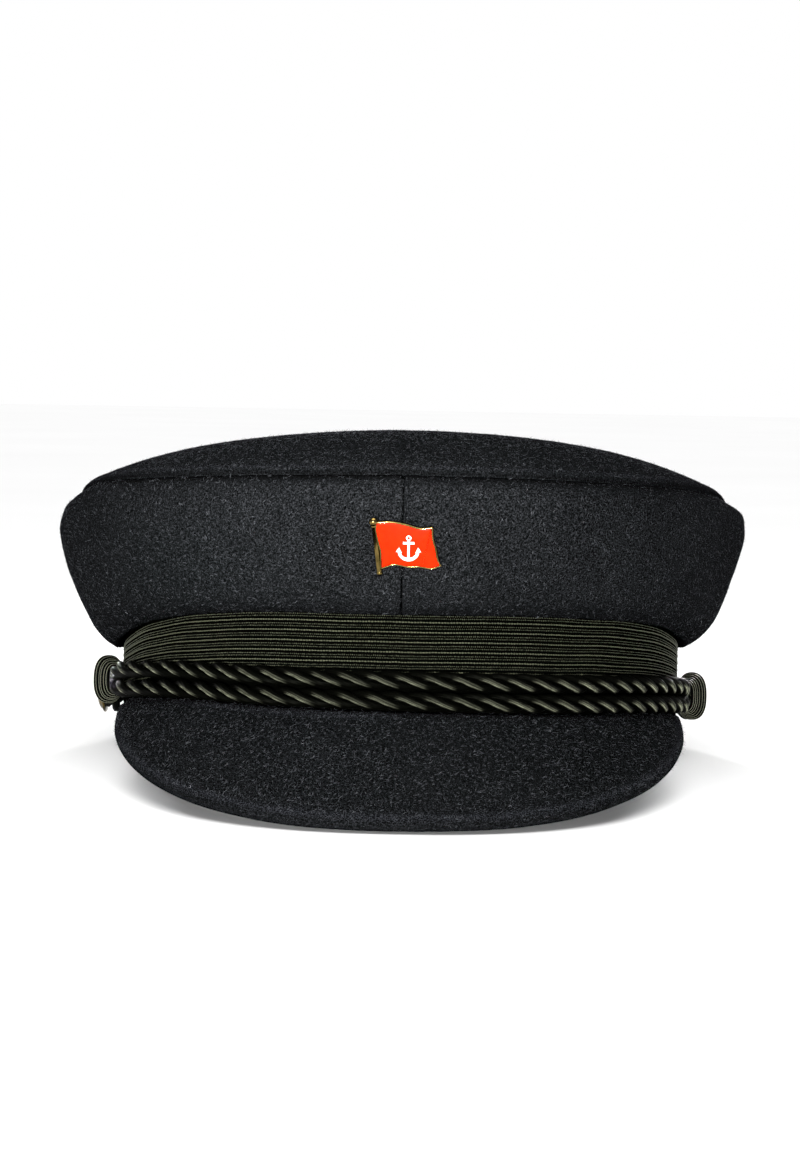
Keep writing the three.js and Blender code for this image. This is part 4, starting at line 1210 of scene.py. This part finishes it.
def pin_plate():
    """The flag's brass plate with its raised rim, and the enamel field in it."""
    edge = flag_line()
    floor = PIN_PLATE - PIN_RECESS
    section = [(0.3, 0), (0.08, 0.06), (0, 0.22)]
    section += [(inset, PIN_PLATE - down) for inset, down in ((0, 0.26), (0.07, 0.08), (0.18, 0))]
    section += [(PIN_RIM - out, PIN_PLATE - down) for out, down in ((0.12, 0), (0.03, 0.07), (0, 0.2))]
    section.append((PIN_RIM, floor))
    points, quads, caps = capped_stack([lifted(inset_line(edge, inset), z) for inset, z in section])
    make_piece("pin_plate_brass", on_pin(points), [quads, caps], BRASS, ["pin_body"], "brass")
    field = [(0.15, 0.05), (0.02, PIN_RECESS * 0.6), (0.06, PIN_RECESS * 0.74), (0.22, ENAMEL_DEPTH)]
    layers = [lifted(inset_line(edge, PIN_RIM + inset), floor + z) for inset, z in field]
    points, quads, caps = capped_stack(layers)
    make_piece("pin_field_enamel", on_pin(points), [quads, caps], RED_ENAMEL, ["pin_enamel"], "red_enamel")


def pin_pole():
    """The flag's pole with a ball on top and a small knob at its foot."""
    ends = (np.array([POLE_TOP, POLE_FOOT]) - 0.5) * (PIN_WIDTH, PIN_HEIGHT)
    head, foot = lifted(ends, PIN_PLATE / 2)
    along = unit(head - foot)
    side = unit(np.cross(along, UP))
    length = np.linalg.norm(head - foot)
    arc = np.linspace(0, np.pi, 13)
    ball, knob, pole = POLE_BALL / 2, POLE_DIAMETER * 0.6, POLE_DIAMETER / 2
    profile = [(knob * math.sin(t), -knob * math.cos(t)) for t in arc[:9]]
    profile += [(pole, knob * 0.7), (pole, length - ball * 1.25), (pole * 1.25, length - ball * 1.12)]
    profile += [(pole * 1.25, length - ball * 0.95)]
    profile += [(ball * math.sin(t), length - ball * math.cos(t)) for t in arc[3:]]
    points, faces = turned(profile, 24)
    placed = set_at(points, foot, side, np.cross(along, side), along)
    make_piece("pin_pole_brass", on_pin(placed), faces, BRASS, [], "brass")


def pin_anchor():
    """A plain anchor: ring, shank, stock and curved arms with flukes."""
    size = MOTIF_HEIGHT
    arc = np.linspace(0, 1, 17)

    def round_line(x, y, radius, first, last):
        turn = np.pi * (first + (last - first) * arc)
        return np.stack([x + radius * np.cos(turn), y + radius * np.sin(turn)], axis=-1)

    def bar(half_width, low, high):
        return np.array([(-half_width, low), (half_width, low), (half_width, high), (-half_width, high)])

    shank, stock = bar(0.045, -0.42, 0.34), bar(0.21, 0.18, 0.27)
    arms = [round_line(0, -0.08, 0.4, 1.06, 1.94), round_line(0, -0.04, 0.31, 1.92, 1.08)]
    shapes = [shank, stock, np.concatenate(arms)]
    for side in (-1, 1):
        fluke = np.array([(0.46 * side, -0.12), (0.35 * side, 0.06), (0.24 * side, -0.17)])
        shapes.append(fluke[::-1] if side < 0 else fluke)
    base = PIN_PLATE - PIN_RECESS + 0.3
    top = PIN_PLATE - PIN_RECESS + ENAMEL_DEPTH + MOTIF_RELIEF
    points, groups = [], []
    for shape in shapes:
        line = shape * size
        layers = [lifted(line, base), lifted(line, top - 0.1), lifted(inset_line(line, 0.05), top)]
        start = sum(len(p) for p in points)
        solid, quads, caps = capped_stack(layers, start)
        points.append(solid)
        groups += [quads, caps]
    turn = full_turn(28)
    ring = np.stack([0.073 * np.cos(turn), 0.42 + 0.073 * np.sin(turn)], axis=-1)
    ring = lifted(ring * size, top - 0.2)
    start = sum(len(p) for p in points)
    tube, tube_groups = tubes(ring[None], 0.03 * size, 8, True)
    points.append(tube.reshape(-1, 3))
    groups += [group + start for group in tube_groups]
    placed = on_pin(np.concatenate(points))
    make_piece("pin_anchor_enamel", placed, groups, WHITE_ENAMEL, ["pin_motif"], "white_enamel", smooth=False)


def pin_post():
    """The post through the felt and the clutch on its inner face."""
    wall = CROWN_WALL + CLUTCH_CLEARANCE
    post, clutch = POST_DIAMETER / 2, CLUTCH_DIAMETER / 2
    low = -wall - CLUTCH_DEPTH
    profile = [(0, low), (clutch * 0.42, low), (clutch * 0.5, low + 0.15)]
    profile += [(clutch * out, low + CLUTCH_DEPTH * up) for out, up in ((0.62, 0.3), (0.95, 0.5), (1, 0.7))]
    profile += [(clutch * 0.97, -wall - 0.1), (clutch * 0.9, -wall), (post, -wall), (post, 0.05), (0, 0.05)]
    points, faces = turned(profile, 32)
    placed = on_pin(points + POST_OFFSET * RIGHT)
    make_piece("pin_post_brass", placed, faces, BRASS, ["pin_post"], "brass")


# Felt fibres
def cell_areas(surface):
    corner = surface[:-1, :-1]
    return np.linalg.norm(np.cross(surface[1:, :-1] - corner, surface[:-1, 1:] - corner), axis=-1)


FIBRE_LENGTH = (0.5, 1.5)
FIBRE_HALF_WIDTH = (0.018, 0.038)
STANDING_SHARE = 0.2
STANDING = (0.4, 0.9)
LYING = (0.03, 0.3)


def fibres(name, surfaces, count, seed, look):
    """Short loose fibres that lie on the felt or stand a little out of it, each a thin bent blade."""
    rng = np.random.default_rng(seed)
    roots, normals = [], []
    areas = [cell_areas(surface) for surface, _ in surfaces]
    total = sum(area.sum() for area in areas)
    for (surface, normal), area in zip(surfaces, areas):
        share = int(count * area.sum() / total)
        cell = rng.choice(area.size, share, p=area.ravel() / area.sum())
        i, j = np.unravel_index(cell, area.shape)
        u, v = rng.random((2, share, 1))
        corner = surface[i, j]
        roots.append(corner + u * (surface[i + 1, j] - corner) + v * (surface[i, j + 1] - corner))
        normals.append(normal[i, j])
    roots, normals = np.concatenate(roots), np.concatenate(normals)
    size = len(roots)
    lean = unit(np.cross(normals, rng.normal(size=(size, 3))))
    bend = np.cross(normals, lean)
    standing = rng.random((size, 1)) < STANDING_SHARE
    stand = np.where(standing, rng.uniform(*STANDING, (size, 1)), rng.uniform(*LYING, (size, 1)))
    length = rng.uniform(*FIBRE_LENGTH, (size, 1))
    width = rng.uniform(*FIBRE_HALF_WIDTH, (size, 1))
    curl = rng.uniform(-0.5, 0.5, (size, 1))
    root = roots - 0.02 * normals
    middle = roots + 0.5 * length * (lean + stand * normals * 0.6) + curl * 0.12 * length * bend
    end = roots + length * (lean * 0.92 + stand * normals * 0.8) + curl * 0.5 * length * bend
    side = width * unit(bend + 0.6 * normals)
    points = np.stack([root - side, root + side, middle - side, middle + side, end], axis=1)
    base = np.arange(size)[:, None] * 5
    quads, tips = base + np.array([[0, 1, 3, 2]]), base + np.array([[2, 3, 4]])
    make_piece(name, points, [quads, tips], look, [], "felt")


left = crown_side(-1)
right = crown_side(1)
tip = crown_tip()
seam_shade_lines(*right)
visor = peak()
head_band()
ribbed_band()
cord()
for side in (-1, 1):
    keeper(side)
    button(side)
pin_plate()
pin_pole()
pin_anchor()
pin_post()
fibres("crown_fibres", [left, right, tip], 52000, 101, FIBRE)
fibres("peak_fibres", [visor], 14000, 102, FIBRE)
fibres("lint", [left, right, visor], 40, 103, LINT)


# Stage: pale floor, soft light and the camera
PHOTO_WIDTH = 800
PHOTO_HEIGHT = 1156
FOCAL_PIXELS = 2608
CAMERA_DISTANCE = 806
CAMERA_HEIGHT = 12
AIM_PIXELS = (402, 664)
CAMERA_ROLL = 1.0
AMBIENT = 0.22
FLOOR_HALF = 6.0
OVERHEAD_POWER = 2.9
OVERHEAD_SPREAD = 60
OVERHEAD_LEAN = 12

# Lights in metres and watts, with their spread in degrees
CENTRE = (0, 0, 0.05)
FRONT = (-0.015, -0.1, 0.07)
LAMP = (0.12, 0.08)
STRIP = (0.08, 0.22)
AREA_LIGHTS = table(
    "name place aim size power spread",
    ("key", (-0.11, -1.3, 0.09), FRONT, LAMP, 0.36, 12.5),
    ("left_strip", (-1.0, 0.42, 0.1), CENTRE, STRIP, 3.4, 180),
    ("right_strip", (1.0, 0.3, 0.1), CENTRE, STRIP, 3.0, 180),
    ("back_left", (-0.45, 1.25, 0.2), CENTRE, LAMP, 0.3, 18),
    ("back_right", (0.45, 1.25, 0.2), CENTRE, LAMP, 0.3, 18),
)


def make_camera():
    """The photograph's view, from level with the peak's root, with its aim off the picture's middle."""
    data = bpy.data.cameras.new("camera")
    data.sensor_width = 36
    data.lens = data.sensor_width * FOCAL_PIXELS / PHOTO_HEIGHT
    data.clip_start = 0.01
    data.clip_end = 50
    camera = add_object("camera", data)
    pitch = math.atan((AIM_PIXELS[1] - PHOTO_HEIGHT / 2) / FOCAL_PIXELS)
    yaw = math.atan((AIM_PIXELS[0] - PHOTO_WIDTH / 2) / FOCAL_PIXELS)
    level = Matrix.Translation(Vector((0, -CAMERA_DISTANCE * MM, CAMERA_HEIGHT * MM)))
    turn = Matrix.Rotation(yaw, 4, "Z") @ Matrix.Rotation(math.pi / 2 + pitch, 4, "X")
    camera.matrix_world = LEVEL_TO_FRAME @ level @ turn @ Matrix.Rotation(math.radians(CAMERA_ROLL), 4, "Z")
    bpy.context.scene.camera = camera


def area_light(name, place, aim, size, power, spread):
    data = bpy.data.lights.new(name, "AREA")
    data.shape = "RECTANGLE"
    data.size, data.size_y = size
    data.energy = power
    data.spread = math.radians(spread)
    light = add_object(name, data)
    light.location = place
    light.rotation_euler = (Vector(aim) - Vector(place)).to_track_quat("-Z", "Y").to_euler()


def make_floor():
    mesh = bpy.data.meshes.new("floor")
    corners = [(FLOOR_HALF * x, FLOOR_HALF * y, 0) for x, y in ((-1, -1), (1, -1), (1, 1), (-1, 1))]
    mesh.from_pydata(corners, [], [(0, 1, 2, 3)])
    floor = add_object("floor", mesh)
    look = Look("floor")
    pale = look.ramp(look.noise(3, 2), (0.3, 0.9), (0.7, 0.92))
    mesh.materials.append(look.finish({"Base Color": pale, "Roughness": 0.9}))
    floor.location.z = -0.0002


def make_studio():
    """Pale surroundings, white to the camera and dim to the hat, and the studio's lights."""
    world = bpy.data.worlds.new("studio")
    bpy.context.scene.world = world
    world.use_nodes = True
    nodes, links = world.node_tree.nodes, world.node_tree.links
    background = nodes["Background"]
    background.inputs["Color"].default_value = (1, 1, 1, 1)
    seen = nodes.new("ShaderNodeLightPath").outputs["Is Camera Ray"]
    strength = nodes.new("ShaderNodeMapRange")
    strength.inputs["To Min"].default_value = AMBIENT
    strength.inputs["To Max"].default_value = 1.0
    links.new(seen, strength.inputs["Value"])
    links.new(strength.outputs["Result"], background.inputs["Strength"])
    for light in AREA_LIGHTS:
        area_light(**light)
    data = bpy.data.lights.new("overhead", "SUN")
    data.energy = OVERHEAD_POWER
    data.angle = math.radians(OVERHEAD_SPREAD)
    add_object("overhead", data).rotation_euler = (math.radians(OVERHEAD_LEAN), 0, 0)


make_camera()
make_floor()
make_studio()
bpy.context.scene.view_settings.view_transform = "Standard"
